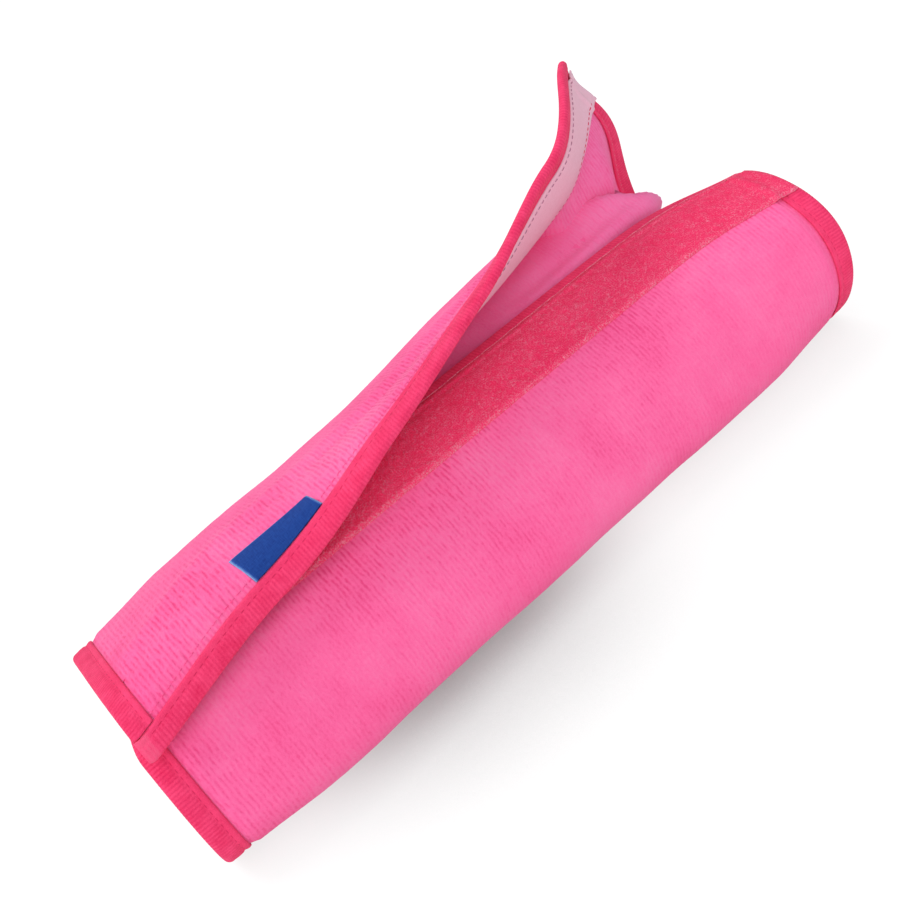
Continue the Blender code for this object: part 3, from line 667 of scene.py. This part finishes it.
def put_binding(name, run, cloth_place, flip, taper):
    """Binding laid along a run: its section carried along by the given function of run, out and depth."""
    outer_out, outer_depth, inner_out, inner_depth, ribbed = binding_section()
    run = run[:, None]
    broken = 0.75 + 0.25 * uneven(run / 0.0021, np.arange(len(outer_out)) / 3.0, 62)
    rib = rib_height(run) * broken * ribbed
    middle = 0.5 * STACK
    grow = RIB_RISE * (rib - 0.6 * ribbed) * np.sign(outer_depth - middle)
    nose = outer_out < 0.0
    before = np.clip((run[0] - run + taper) / max(taper, 1e-6), 0.0, 1.0) * (taper > 0.0)
    beyond = np.clip((run - run[-1] + taper) / max(taper, 1e-6), 0.0, 0.97) * (taper > 0.0)
    round_end = np.sqrt(1.0 - 0.45 * before**3) * np.sqrt(1.0 - beyond**2)
    out = (outer_out - np.where(nose, RIB_RISE * (rib - 0.6), 0.0)) * np.where(nose, round_end, 1.0)
    depth = outer_depth + np.where(nose, 0.4, 1.0) * grow
    face = cloth_place(run, out, middle + (depth - middle) * round_end)
    back_out = inner_out * np.where(nose, round_end, 1.0)
    back = cloth_place(run, back_out, middle + (inner_depth - middle) * round_end)
    steps = np.hypot(np.diff(outer_out, prepend=outer_out[0]), np.diff(outer_depth, prepend=outer_depth[0]))
    uv = np.stack(np.broadcast_arrays(run, np.cumsum(steps)[None, :]), -1)
    value = np.broadcast_to(rib, face.shape[:2])
    worn = np.broadcast_to(ribbed, face.shape[:2])
    cut = np.broadcast_to(1.0 - ease((run - run[0] - CUT_LENGTH) / 0.0015), face.shape[:2])
    if flip:
        face, back, uv, value, worn = face[:, ::-1], back[:, ::-1], uv[:, ::-1], value[:, ::-1], worn[:, ::-1]
    rows, columns = BINDING_BACK
    values = {"rib": value, "ribbed": worn, "cut": cut}
    return put_cloth(name, face, back[::rows, ::columns], uv, uv[::rows, ::columns], values)


def rib_run(start, end):
    """Places along a binding, with the same number of points on each rib."""
    count = BINDING_BACK[0] * int(round((end - start) / RIB_PITCH * RIB_SAMPLES / BINDING_BACK[0]))
    return np.linspace(start, end, count + 1)


def add_long_binding(name, edge, side):
    """Binding folded over a long edge. It runs past both ends, over the end bindings."""
    past = CLEARANCE + BINDING_ROLL

    def place(run, out, depth):
        """Point at a distance out from the long edge."""
        return sleeve_point(run, edge - side * out, depth)

    return put_binding(name, rib_run(-past, LENGTH + past), place, side < 0, past)


def add_end_binding(name, edge, side):
    """Binding folded over an end, between the two long bindings."""
    stop = BINDING_WIDTH + CLEARANCE

    def place(run, out, depth):
        """Point at a distance out from the end, kept above the floor."""
        return rest_on_floor(sleeve_point(edge - side * out, run, depth))

    return put_binding(name, rib_run(stop - FRONT_GIRTH, BACK_GIRTH - stop), place, side > 0, 0.0)


def tape_lift(along):
    """Height of a tape above the panel: it lies on the panel, and on the end bindings at its two ends."""
    over_binding = 1.0 - ease((end_distance(along) - BINDING_WIDTH - CLEARANCE) / RAMP_LENGTH)
    return CLEARANCE + (BINDING_THICKNESS + TAPE_SLACK + CLEARANCE) * over_binding


def loop_lift(along, girth):
    """Height of the loop tape, which also climbs over the hem of the front edge's binding."""
    over_hem = 1.0 - ease((girth + FRONT_GIRTH - BINDING_WIDTH) / (0.5 * RAMP_LENGTH))
    return np.maximum(tape_lift(along), CLEARANCE + BINDING_THICKNESS * 1.1 * over_hem)


def add_loop_tape():
    """Loop tape on the front: a napped face whose loops stand unevenly, thinning towards its edges."""
    start = BINDING_WIDTH - LOOP_OVERLAP - FRONT_GIRTH
    width = TAPE_WIDTH + LOOP_OVERLAP + CLEARANCE
    grid = cloth_grid((-TAPE_END, LENGTH + TAPE_END), (start, start + width), TAPE_CELLS, TAPE_BACK)
    a, g, back_a, back_g = grid
    share = (g - start) / width
    nap = 0.55 * uneven(a / 0.0009, g / 0.0009, 71) + 0.45 * uneven(a / 0.0021, g / 0.0018, 72)
    border = ease(share / 0.05) * ease((1.0 - share) / 0.07) * ease((end_distance(a) + TAPE_END) / 0.0016)
    height = TAPE_THICKNESS * (0.35 + 0.65 * border) + FUZZ_RISE * nap * (0.35 + 0.65 * border)
    face = sleeve_point(a, g, -loop_lift(a, g) - height)
    back = sleeve_point(back_a, back_g, -loop_lift(back_a, back_g))
    drift = 0.6 * uneven(a / 0.016, g / 0.010, 73) + 0.4 * uneven(a / 0.005, g / 0.004, 74)
    values = {"nap": 0.5 + 0.5 * nap, "brushed": 0.5 + 0.5 * drift, "worn": ease((share - 0.90) / 0.08)}
    return put_panel("loop_tape_nap", face, back, grid, values)


def add_hook_tape():
    """Hook tape inside the flap: a flat woven band with low selvedges and pressed-in stitch rows."""
    stop = BACK_GIRTH - BINDING_WIDTH - CLEARANCE
    ends = (0.0005, LENGTH + HOOK_END)
    grid = cloth_grid(ends, (stop, stop - TAPE_WIDTH), HOOK_CELLS, (1, 1))
    a, g, back_a, back_g = grid
    share = (stop - g) / TAPE_WIDTH
    border = ease(share / 0.04) * ease((1.0 - share) / 0.04)
    height = TAPE_THICKNESS * (0.55 + 0.45 * border)
    for row in HOOK_STITCH_ROWS:
        height = height - 0.00035 * swell(g, row, 0.0006)
    face = sleeve_point(a, g, STACK + tape_lift(a) + height)
    back = sleeve_point(back_a, back_g, STACK + tape_lift(back_a))
    values = {"share": share}
    return put_panel("hook_tape_band", face, back, grid, values)


def add_label():
    """Bare woven label, sewn askew with one long side under the binding."""
    t = np.linspace(0.0, 1.0, LABEL_CELLS[0] + 1)[:, None]
    s = np.linspace(1.0, 0.0, LABEL_CELLS[1] + 1)
    a = LABEL_FROM_END + LABEL_LENGTH * t + 0.0 * s
    shown = LABEL_WIDTH - LABEL_SKEW * t
    g = BACK_GIRTH - BINDING_WIDTH - CLEARANCE - shown * s
    a = a + 0.0016 * (1.0 - s)
    rim = ease(t / 0.03) * ease((1.0 - t) / 0.03) * ease((1.0 - s) / 0.06)
    lift = PILE_HEIGHT * 0.75
    curl = 0.0003 * np.sin(np.pi * t) * s
    height = LABEL_THICKNESS * (0.45 + 0.55 * rim)
    face = sleeve_point(a, g, -CLEARANCE - lift * s - height - curl)
    back = sleeve_point(a, g, -CLEARANCE - 0.5 * lift * s)
    uv = np.stack([a, g], -1)
    return put_cloth("woven_label", face, back, uv, uv, {"edge": 1.0 - rim + 0.0 * a})


def put_stitches(name, start, end, normal):
    """Short lengths of thread from start to end points, each a six-sided bead that tapers at both ends."""
    turn = np.linspace(0.0, 2.0 * np.pi, THREAD_SIDES, endpoint=False)
    travel = np.array([0.0, 0.18, 0.5, 0.82, 1.0])
    wide = np.array([0.25, 0.85, 1.0, 0.85, 0.25])
    rise = np.array([-0.9, 0.1, 0.35, 0.1, -0.9])
    run = end - start
    side = np.cross(run, normal)
    side /= np.linalg.norm(side, axis=-1, keepdims=True)
    centre = start[:, None] + run[:, None] * travel[None, :, None]
    centre = centre + normal[:, None] * (rise * THREAD)[None, :, None]
    sideways = np.cos(turn)[None, None, :, None] * side[:, None, None]
    upwards = np.sin(turn)[None, None, :, None] * normal[:, None, None]
    ring = centre[:, :, None] + THREAD * wide[None, :, None, None] * (sideways + upwards)
    count, rings, sides = ring.shape[:3]
    index = np.arange(count * rings * sides).reshape(count, rings, sides)
    following = np.roll(index, -1, axis=2)
    quads = np.stack([index[:, :-1], following[:, :-1], following[:, 1:], index[:, 1:]], -1).reshape(-1, 4)
    cap = np.arange(1, sides - 1)
    first = np.stack([index[:, 0, :1] + 0 * cap, index[:, 0, cap + 1], index[:, 0, cap]], -1).reshape(-1, 3)
    last = np.stack([index[:, -1, :1] + 0 * cap, index[:, -1, cap], index[:, -1, cap + 1]], -1).reshape(-1, 3)
    points = ring.reshape(-1, 3)
    caps = np.concatenate([first, last])
    return put_mesh(name, points, quads[:, ::-1], caps[:, ::-1], np.zeros((len(points), 2)), {})


def stitch_row(name, run, place):
    """A row of stitches. The function of run gives a point and the way out of the cloth."""
    start, normal = place(run - 0.5 * STITCH_LENGTH)
    end, _ = place(run + 0.5 * STITCH_LENGTH)
    return put_stitches(name, start, end, normal)


def face_row(name, girth, depth, outward):
    """A row of stitches along the pad at one girth, and at a depth given as a function of along."""
    run = np.arange(STITCH_START, LENGTH - STITCH_START, STITCH_PITCH)

    def place(along):
        """Point on the row and its direction outwards."""
        level = depth(along)
        point = sleeve_point(along, girth, level)
        above = sleeve_point(along, girth, level - outward * NORMAL_STEP)
        return point, (above - point) / NORMAL_STEP

    return stitch_row(name, run, place)


def edge_row(name, edge, side, depth, outward):
    """A row of stitches in the groove of an end binding."""
    run = np.arange(BINDING_WIDTH - FRONT_GIRTH + 0.003, BACK_GIRTH - BINDING_WIDTH - 0.003, STITCH_PITCH)
    along = edge - side * GROOVE_PLACE * BINDING_WIDTH

    def place(girth):
        """Point on the row and its direction outwards."""
        point = sleeve_point(along, girth, depth)
        above = sleeve_point(along, girth, depth - outward * NORMAL_STEP)
        return point, (above - point) / NORMAL_STEP

    return stitch_row(name, run, place)


def add_selvedge():
    """Pale edge thread of the loop tape, a thin cord that wavers between the tape and its binding."""
    run = np.linspace(0.0015, LENGTH - 0.0015, 701)
    turn = np.linspace(0.0, 2.0 * np.pi, THREAD_SIDES + 1)[:-1]
    girth = BINDING_WIDTH - LOOP_OVERLAP - FRONT_GIRTH + 0.0001 + 0.00018 * uneven(run / 0.003, 0.0 * run, 81)
    depth = -loop_lift(run, girth) - 0.55 * TAPE_THICKNESS - 0.00012 * uneven(run / 0.002, 0.0 * run, 82)
    across = girth[:, None] + SELVEDGE * np.cos(turn)
    ring = sleeve_point(run[:, None], across, depth[:, None] - SELVEDGE * np.sin(turn))
    rows, sides = ring.shape[:2]
    index = np.arange(rows * sides).reshape(rows, sides)
    following = np.roll(index, -1, axis=1)
    quads = np.stack([index[:-1], following[:-1], following[1:], index[1:]], -1).reshape(-1, 4)
    cap = np.arange(1, sides - 1)
    first = np.stack([index[0, 0] + 0 * cap, index[0, cap + 1], index[0, cap]], -1)
    last = np.stack([index[-1, 0] + 0 * cap, index[-1, cap], index[-1, cap + 1]], -1)
    points = ring.reshape(-1, 3)
    uv = np.stack([np.repeat(run, sides), np.zeros(rows * sides)], -1)
    return put_mesh("loop_tape_selvedge", points, quads, np.concatenate([first, last]), uv, {})


def calculate(nodes, links, operation, *values, clamp=False):
    """Result of one sum. Each value is a plain number or another node's output."""
    node = nodes.new("ShaderNodeMath")
    node.operation = operation
    node.use_clamp = clamp
    for value, socket in zip(values, node.inputs):
        if isinstance(value, float):
            socket.default_value = value
        else:
            links.new(value, socket)
    return node.outputs["Value"]


class Finish:
    """A cloth's material, with short ways to add its nodes."""

    def __init__(self, name, roughness, sheen, sheen_tint):
        """New material with a soft cloth sheen."""
        self.material = bpy.data.materials.new(name)
        self.material.use_nodes = True
        self.nodes = self.material.node_tree.nodes
        self.links = self.material.node_tree.links
        self.shader = self.nodes["Principled BSDF"]
        self.shader.inputs["Roughness"].default_value = roughness
        self.shader.inputs["Specular IOR Level"].default_value = 0.15
        self.shader.inputs["Sheen Weight"].default_value = sheen
        self.shader.inputs["Sheen Roughness"].default_value = 0.45
        self.shader.inputs["Sheen Tint"].default_value = (*sheen_tint, 1.0)

    def join(self, out, into):
        """Link an output to an input."""
        self.links.new(out, into)

    def attribute(self, name):
        """Value that the mesh holds for its points under this name."""
        node = self.nodes.new("ShaderNodeAttribute")
        node.attribute_name = name
        return node.outputs["Fac"]

    def places(self, scale, kind="UV"):
        """Places in metres, on the sheet or in space, times a scale for each direction."""
        coordinates = self.nodes.new("ShaderNodeTexCoord")
        mapping = self.nodes.new("ShaderNodeMapping")
        mapping.inputs["Scale"].default_value = scale
        self.join(coordinates.outputs[kind], mapping.inputs["Vector"])
        return mapping.outputs["Vector"]

    def calculate(self, operation, *values, clamp=False):
        """Result of one sum on numbers and outputs."""
        return calculate(self.nodes, self.links, operation, *values, clamp=clamp)

    def noise(self, scale, detail=2.0, roughness=0.5, kind="UV"):
        """Noise from 0 to 1, with a number of cells to the metre in each direction."""
        node = self.nodes.new("ShaderNodeTexNoise")
        node.inputs["Scale"].default_value = 1.0
        node.inputs["Detail"].default_value = detail
        node.inputs["Roughness"].default_value = roughness
        self.join(self.places(scale, kind), node.inputs["Vector"])
        return node.outputs["Fac"]

    def rows(self, pitch, across, wander):
        """Bands a pitch apart along the sheet, which wander over a length across it."""
        node = self.nodes.new("ShaderNodeTexWave")
        node.wave_type = "BANDS"
        node.bands_direction = "X"
        node.inputs["Scale"].default_value = 1.0
        node.inputs["Distortion"].default_value = wander
        node.inputs["Detail"].default_value = 2.0
        node.inputs["Detail Scale"].default_value = 1.0
        self.join(self.places((WAVE_TURN / pitch, 1.0 / across, 1.0)), node.inputs["Vector"])
        return node.outputs["Fac"]

    def curls(self, scale, thin):
        """Thin curling lines: one where a noise is at its middle value, falling off on both sides."""
        off = self.calculate("SUBTRACT", self.noise(scale, 1.0, 0.5), 0.5)
        size = self.calculate("ABSOLUTE", off)
        return self.calculate("MULTIPLY_ADD", size, -thin, 1.0, clamp=True)

    def sum_of(self, *terms):
        """Weighted sum of values, each given with its weight."""
        total = 0.0
        for value, weight in terms:
            total = self.calculate("MULTIPLY_ADD", value, weight, total)
        return total

    def contrast(self, value, middle, gain):
        """Value spread out round a middle one and cut off at 0 and 1."""
        return self.calculate("MULTIPLY_ADD", value, gain, 0.5 - gain * middle, clamp=True)

    def product(self, first, second):
        """One value times another."""
        return self.calculate("MULTIPLY", first, second)

    def shades(self, value, *stops):
        """Colours along a value: each stop is a place from 0 to 1 and a colour."""
        ramp = self.nodes.new("ShaderNodeValToRGB")
        entries = ramp.color_ramp.elements
        while len(entries) < len(stops):
            entries.new(0.5)
        for entry, (place, colour) in zip(entries, stops):
            entry.position = place
            entry.color = (*colour, 1.0)
        self.join(value, ramp.inputs["Fac"])
        return ramp.outputs["Color"]

    def colour(self, out):
        """Colour of the cloth."""
        self.join(out, self.shader.inputs["Base Color"])

    def bump(self, value, distance, strength=1.0):
        """Fine relief that stands out by a distance where the value is 1."""
        node = self.nodes.new("ShaderNodeBump")
        node.inputs["Strength"].default_value = strength
        node.inputs["Distance"].default_value = distance
        self.join(value, node.inputs["Height"])
        self.join(node.outputs["Normal"], self.shader.inputs["Normal"])


def plush_finish(name, deep, middle, light):
    """Short plush: darker strokes in rows between the tufts, mottled by how it was brushed."""
    made = Finish(name, 0.95, 0.22, (1.0, 0.58, 0.72))
    tufts = made.noise((1500.0, 900.0, 1.0), 3.0, 0.65)
    patches = made.noise((38.0, 38.0, 38.0), 3.0, 0.55, "Object")
    breaks = made.contrast(made.noise((620.0, 330.0, 1.0), 2.0, 0.5), 0.46, 3.2)
    strokes = made.product(made.product(made.rows(PILE_PITCH, 0.006, 2.4), breaks), made.attribute("rows"))
    shade = made.sum_of(
        (made.attribute("brushed"), 0.24),
        (tufts, 0.36),
        (patches, 0.36),
        (made.attribute("pile"), 0.08),
        (strokes, -0.30),
    )
    made.colour(made.shades(shade, (0.18, deep), (0.46, middle), (0.78, light)))
    made.bump(made.sum_of((tufts, 0.8), (strokes, -0.6)), 0.0006, 0.45)
    return made.material


def binding_finish():
    """Knit binding: fuzzy, with faint ribs over deeper grooves, and a paler raw end."""
    made = Finish("binding_knit", 0.9, 0.16, (1.0, 0.45, 0.58))
    grain = made.noise((2300.0, 1500.0, 1.0), 3.0, 0.65)
    worn = made.noise((160.0, 160.0, 160.0), 3.0, 0.5, "Object")
    rib = made.product(made.attribute("rib"), made.noise((500.0, 420.0, 1.0), 2.0, 0.6))
    shade = made.sum_of(
        (rib, 0.42),
        (grain, 0.42),
        (worn, 0.34),
        (made.attribute("ribbed"), -0.14),
        (made.attribute("cut"), 0.3),
    )
    made.colour(made.shades(shade, (0.16, BINDING_DEEP), (0.46, BINDING_PINK), (1.0, BINDING_CUT)))
    made.bump(grain, 0.0004, 0.6)
    return made.material


def loop_finish():
    """Napped loop tape: deep pink loops with pale curling ends scattered over them, and a worn lower edge."""
    made = Finish("loop_tape_nap", 0.95, 0.16, (1.0, 0.5, 0.6))
    fuzz = made.noise((1900.0, 1900.0, 1.0), 3.0, 0.7)
    ends = made.product(made.curls((1250.0, 1250.0, 1.0), 13.0), made.noise((420.0, 420.0, 1.0), 2.0, 0.6))
    shade = made.sum_of(
        (made.attribute("nap"), 0.16),
        (made.attribute("brushed"), 0.12),
        (fuzz, 0.44),
        (ends, 0.62),
        (made.attribute("worn"), 0.14),
    )
    made.colour(made.shades(shade, (0.22, LOOP_DEEP), (0.50, LOOP_PINK), (0.90, LOOP_LIGHT)))
    made.bump(made.sum_of((fuzz, 0.6), (ends, 0.6)), 0.0008, 0.7)
    return made.material


def hook_finish():
    """Hook tape: pale, with close fine rows of hooks and a smooth selvedge."""
    made = Finish("hook_tape_band", 0.55, 0.05, (1.0, 0.85, 0.9))
    hooks = made.nodes.new("ShaderNodeTexVoronoi")
    hooks.inputs["Scale"].default_value = 1.0
    made.join(made.places((1300.0, 1500.0, 1.0)), hooks.inputs["Vector"])
    weave = made.noise((300.0, 2400.0, 1.0), 2.0, 0.5)
    shade = made.sum_of((hooks.outputs["Distance"], 0.35), (weave, 0.55))
    made.colour(made.shades(shade, (0.10, HOOK_DEEP), (0.60, HOOK_PINK)))
    made.bump(hooks.outputs["Distance"], 0.0002, 0.35)
    return made.material


def label_finish():
    """Woven label: fine crossed threads in dark blue, with a lighter woven rim."""
    made = Finish("woven_label", 0.6, 0.0, (0.6, 0.7, 1.0))
    warp = made.noise((3800.0, 500.0, 1.0), 1.0, 0.5)
    weft = made.noise((500.0, 3800.0, 1.0), 1.0, 0.5)
    shade = made.sum_of((warp, 0.3), (weft, 0.3), (made.attribute("edge"), 0.6))
    made.colour(made.shades(shade, (0.20, LABEL_BLUE), (0.45, LABEL_LIGHT), (0.85, LABEL_EDGE)))
    made.bump(shade, 0.0002, 0.5)
    return made.material


def thread_finish(name, colour, deep):
    """Sewing thread, with a fine twist."""
    made = Finish(name, 0.6, 0.05, (1.0, 0.8, 0.9))
    twist = made.noise((2500.0, 2500.0, 2500.0), 1.0, 0.5, "Object")
    made.colour(made.shades(twist, (0.3, deep), (0.7, colour)))
    return made.material


def fibre_finish():
    """White filling fibre, which only shows if the pad is opened."""
    made = Finish("filling_fibre", 0.95, 0.1, (1.0, 1.0, 1.0))
    clumps = made.noise((120.0, 120.0, 120.0), 5.0, 0.7, "Object")
    made.colour(made.shades(clumps, (0.2, FIBRE_GREY), (0.8, FIBRE_WHITE)))
    made.bump(clumps, 0.002, 0.6)
    return made.material


def dress(piece, finish, slot, *nodes):
    """Give a piece its finish and the body it rides on, and hide the solids that it stands for. The slot is
    not used.
    """
    piece.data.materials.clear()
    piece.data.materials.append(finish)
    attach(piece, "root")
    if nodes:
        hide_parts(*nodes)
    return piece


def add_stitches(pink, grey, pale):
    """Stitch rows of the hook tape, inside and out, and of the bindings."""
    outer, inner = HOOK_STITCH_ROWS
    hook_face = STACK + TAPE_THICKNESS - HOOK_SINK
    for name, row, thread in (("outer", outer, grey), ("inner", inner, pink)):
        stitches = face_row("hook_stitches_" + name, row, lambda a: hook_face + tape_lift(a), -1.0)
        dress(stitches, thread, "hook_tape")
    groove = CLEARANCE + HEM_DROP * BINDING_THICKNESS
    flap_groove = BACK_GIRTH - GROOVE_PLACE * BINDING_WIDTH
    front_groove = GROOVE_PLACE * BINDING_WIDTH - FRONT_GIRTH
    for name, girth in (("flap", flap_groove), ("front", front_groove)):
        row = name + "_binding_stitches"
        dress(face_row(row, girth, lambda a: -groove + 0.0 * a, 1.0), pink, "binding")
        inside = face_row(row + "_inside", girth, lambda a: STACK + groove + 0.0 * a, -1.0)
        dress(inside, pink, "binding")
    for name, edge, side in (("left", 0.0, -1.0), ("right", LENGTH, 1.0)):
        row = name + "_binding_stitches"
        dress(edge_row(row, edge, side, -groove, 1.0), pink, "binding")
        dress(edge_row(row + "_inside", edge, side, STACK + groove, -1.0), pale, "binding")
    plush_thread = thread_finish("plush_thread", PLUSH_PINK, PLUSH_DEEP)
    for name, row in (("outer", outer), ("inner", inner)):
        dress(face_row("flap_stitches_" + name, row, lambda a: 0.0 * a, 1.0), plush_thread, "plush")


def make_pad():
    """All pieces of the pad."""
    plush = plush_finish("plush", PLUSH_DEEP, PLUSH_PINK, PLUSH_LIGHT)
    # the lining's finish is a paler copy of the cover's plush: painted light for the shade inside the pad
    lining_plush = plush_finish("lining_plush", LINING_DEEP, LINING_PINK, LINING_LIGHT)
    knit = binding_finish()
    pink_thread = thread_finish("pink_thread", THREAD_PINK, BINDING_DEEP)
    grey_thread = thread_finish("dull_thread", THREAD_GREY, THREAD_DARK)
    pale_thread = thread_finish("pale_thread", THREAD_PALE, THREAD_PINK)
    cover = dress(add_cover(), plush, "plush", "outer_cover")
    lining = dress(add_lining(), lining_plush, "lining_plush", "inner_lining")
    dress(add_filling(), fibre_finish(), "filling", "filling")
    dress(add_long_binding("flap_binding", BACK_GIRTH, 1.0), knit, "binding", "binding_flap_edge")
    dress(add_long_binding("front_binding", -FRONT_GIRTH, -1.0), knit, "binding", "binding_front_edge")
    dress(add_end_binding("left_binding", 0.0, -1.0), knit, "binding", "binding_left_end")
    dress(add_end_binding("right_binding", LENGTH, 1.0), knit, "binding", "binding_right_end")
    dress(add_loop_tape(), loop_finish(), "loop_tape", "loop_tape")
    dress(add_selvedge(), pale_thread, "loop_tape")
    dress(add_hook_tape(), hook_finish(), "hook_tape", "hook_tape")
    dress(add_label(), label_finish(), "label", "label")
    add_stitches(pink_thread, grey_thread, pale_thread)


def stand(made, axes, place):
    """Put an object at a place, turned so that its own axes point along the three given ones."""
    rows = [[*row, where] for row, where in zip(np.stack(axes, 1), place)]
    made.matrix_world = Matrix([*rows, [0, 0, 0, 1]])
    bpy.context.scene.collection.objects.link(made)


def make_camera():
    """Camera turned by its azimuth, elevation and roll round the look point."""
    azimuth, elevation, roll = np.radians([AZIMUTH, ELEVATION, ROLL])
    outwards = np.array([np.sin(azimuth), -np.cos(azimuth), 0.0])
    back = outwards * np.cos(elevation) + np.array([0.0, 0.0, np.sin(elevation)])
    level = np.array([np.cos(azimuth), np.sin(azimuth), 0.0])
    upright = np.cross(back, level)
    right = level * np.cos(roll) + upright * np.sin(roll)
    up = upright * np.cos(roll) - level * np.sin(roll)
    place = LOOK_POINT + DISTANCE * back
    lens = bpy.data.cameras.new("camera")
    lens.sensor_width = SENSOR
    lens.lens = FOCAL_PIXELS * SENSOR / IMAGE_PIXELS
    lens.clip_start = 0.01
    lens.clip_end = 50.0
    camera = bpy.data.objects.new("camera", lens)
    stand(camera, [right, up, back], place)
    bpy.context.scene.camera = camera


def add_soft_sun(name, direction, spread, power):
    """Distant soft light from a direction, as wide across as its spread in degrees."""
    direction = np.array(direction) / np.linalg.norm(direction)
    lamp = bpy.data.lights.new(name, "SUN")
    lamp.angle = np.radians(spread)
    lamp.energy = power
    made = bpy.data.objects.new(name, lamp)
    across = np.cross([0.0, 0.0, 1.0], direction)
    across /= np.linalg.norm(across)
    up = np.cross(direction, across)
    stand(made, [across, up, direction], 0.5 * direction)


def seen_directly(nodes, links):
    """One for rays from the camera and those seen in gloss or through glass, else zero."""
    path = nodes.new("ShaderNodeLightPath")
    seen = calculate(nodes, links, "MAXIMUM", path.outputs["Is Camera Ray"], path.outputs["Is Glossy Ray"])
    return calculate(nodes, links, "MAXIMUM", seen, path.outputs["Is Transmission Ray"])


def shade_depth(nodes, links):
    """Glow in the deepest shade: low at one place along X, and eased up to both sides of it."""
    place = nodes.new("ShaderNodeTexCoord")
    parts = nodes.new("ShaderNodeSeparateXYZ")
    links.new(place.outputs["Object"], parts.inputs[0])
    away = calculate(nodes, links, "SUBTRACT", parts.outputs["X"], SHADE_PLACE)
    depth = nodes.new("ShaderNodeMapRange")
    depth.interpolation_type = "SMOOTHSTEP"
    set_range(depth, SHADE_WIDTH, SHADE_FLOOR)
    links.new(calculate(nodes, links, "ABSOLUTE", away), depth.inputs["Value"])
    return depth.outputs["Result"]


def set_range(node, start, end):
    """Numbers of a node that maps one range onto another."""
    for name, value in zip(("From Min", "From Max", "To Min", "To Max"), (*start, *end)):
        node.inputs[name].default_value = value


def shade_glow(nodes, links):
    """White glow that dims where something stands near, on the side that the key light comes from."""
    towards = nodes.new("ShaderNodeCombineXYZ")
    for socket, value in zip(towards.inputs, SHADE_DIRECTION):
        socket.default_value = value
    shade = nodes.new("ShaderNodeAmbientOcclusion")
    shade.samples = SHADE_SAMPLES
    shade.inputs["Distance"].default_value = SHADE_REACH
    links.new(towards.outputs[0], shade.inputs["Normal"])
    spread = nodes.new("ShaderNodeMapRange")
    set_range(spread, SHADE_RANGE, (FLOOR_GLOW, FLOOR_GLOW))
    links.new(shade_depth(nodes, links), spread.inputs["To Min"])
    links.new(shade.outputs["AO"], spread.inputs["Value"])
    glow = nodes.new("ShaderNodeEmission")
    links.new(spread.outputs["Result"], glow.inputs["Strength"])
    return glow.outputs[0]


def diffuse(nodes, grey):
    """Plain diffuse surface of a grey."""
    node = nodes.new("ShaderNodeBsdfDiffuse")
    node.inputs["Color"].default_value = (*grey, 1.0)
    return node.outputs[0]


def floor_finish():
    """Pale floor: plain and diffuse for bounced light, and mostly a dimming white glow as it is seen."""
    material = bpy.data.materials.new("floor")
    material.use_nodes = True
    nodes, links = material.node_tree.nodes, material.node_tree.links
    nodes.remove(nodes["Principled BSDF"])
    both = nodes.new("ShaderNodeAddShader")
    links.new(diffuse(nodes, 3 * (FLOOR_SEEN,)), both.inputs[0])
    links.new(shade_glow(nodes, links), both.inputs[1])
    mix = nodes.new("ShaderNodeMixShader")
    links.new(seen_directly(nodes, links), mix.inputs["Fac"])
    links.new(diffuse(nodes, FLOOR_WHITE), mix.inputs[1])
    links.new(both.outputs[0], mix.inputs[2])
    links.new(mix.outputs[0], nodes["Material Output"].inputs["Surface"])
    return material


def make_studio():
    """Floor, white surroundings, a high soft light from behind and a wide one from the front."""
    corners = [(FLOOR_SIZE * x, FLOOR_SIZE * y, 0) for x, y in ((-1, -1), (1, -1), (1, 1), (-1, 1))]
    mesh = bpy.data.meshes.new("floor")
    mesh.from_pydata(corners, [], [(0, 1, 2, 3)])
    floor = bpy.data.objects.new("floor", mesh)
    bpy.context.scene.collection.objects.link(floor)
    mesh.materials.append(floor_finish())
    world = bpy.data.worlds.new("surroundings")
    bpy.context.scene.world = world
    world.use_nodes = True
    nodes, links = world.node_tree.nodes, world.node_tree.links
    sky = nodes["Background"]
    sky.inputs["Color"].default_value = (1.0, 1.0, 1.0, 1.0)
    sky.inputs["Strength"].default_value = SKY_LEVEL
    bright = nodes.new("ShaderNodeBackground")
    path = nodes.new("ShaderNodeLightPath")
    mix = nodes.new("ShaderNodeMixShader")
    links.new(path.outputs["Is Camera Ray"], mix.inputs["Fac"])
    links.new(sky.outputs[0], mix.inputs[1])
    links.new(bright.outputs[0], mix.inputs[2])
    bright.inputs["Color"].default_value = (1.0, 1.0, 1.0, 1.0)
    links.new(mix.outputs[0], nodes["World Output"].inputs["Surface"])
    add_soft_sun("key_light", KEY_DIRECTION, KEY_SPREAD, KEY_POWER)
    add_soft_sun("fill_light", FILL_DIRECTION, FILL_SPREAD, FILL_POWER)
    bpy.context.scene.view_settings.view_transform = "Standard"

make_pad()
make_camera()
make_studio()
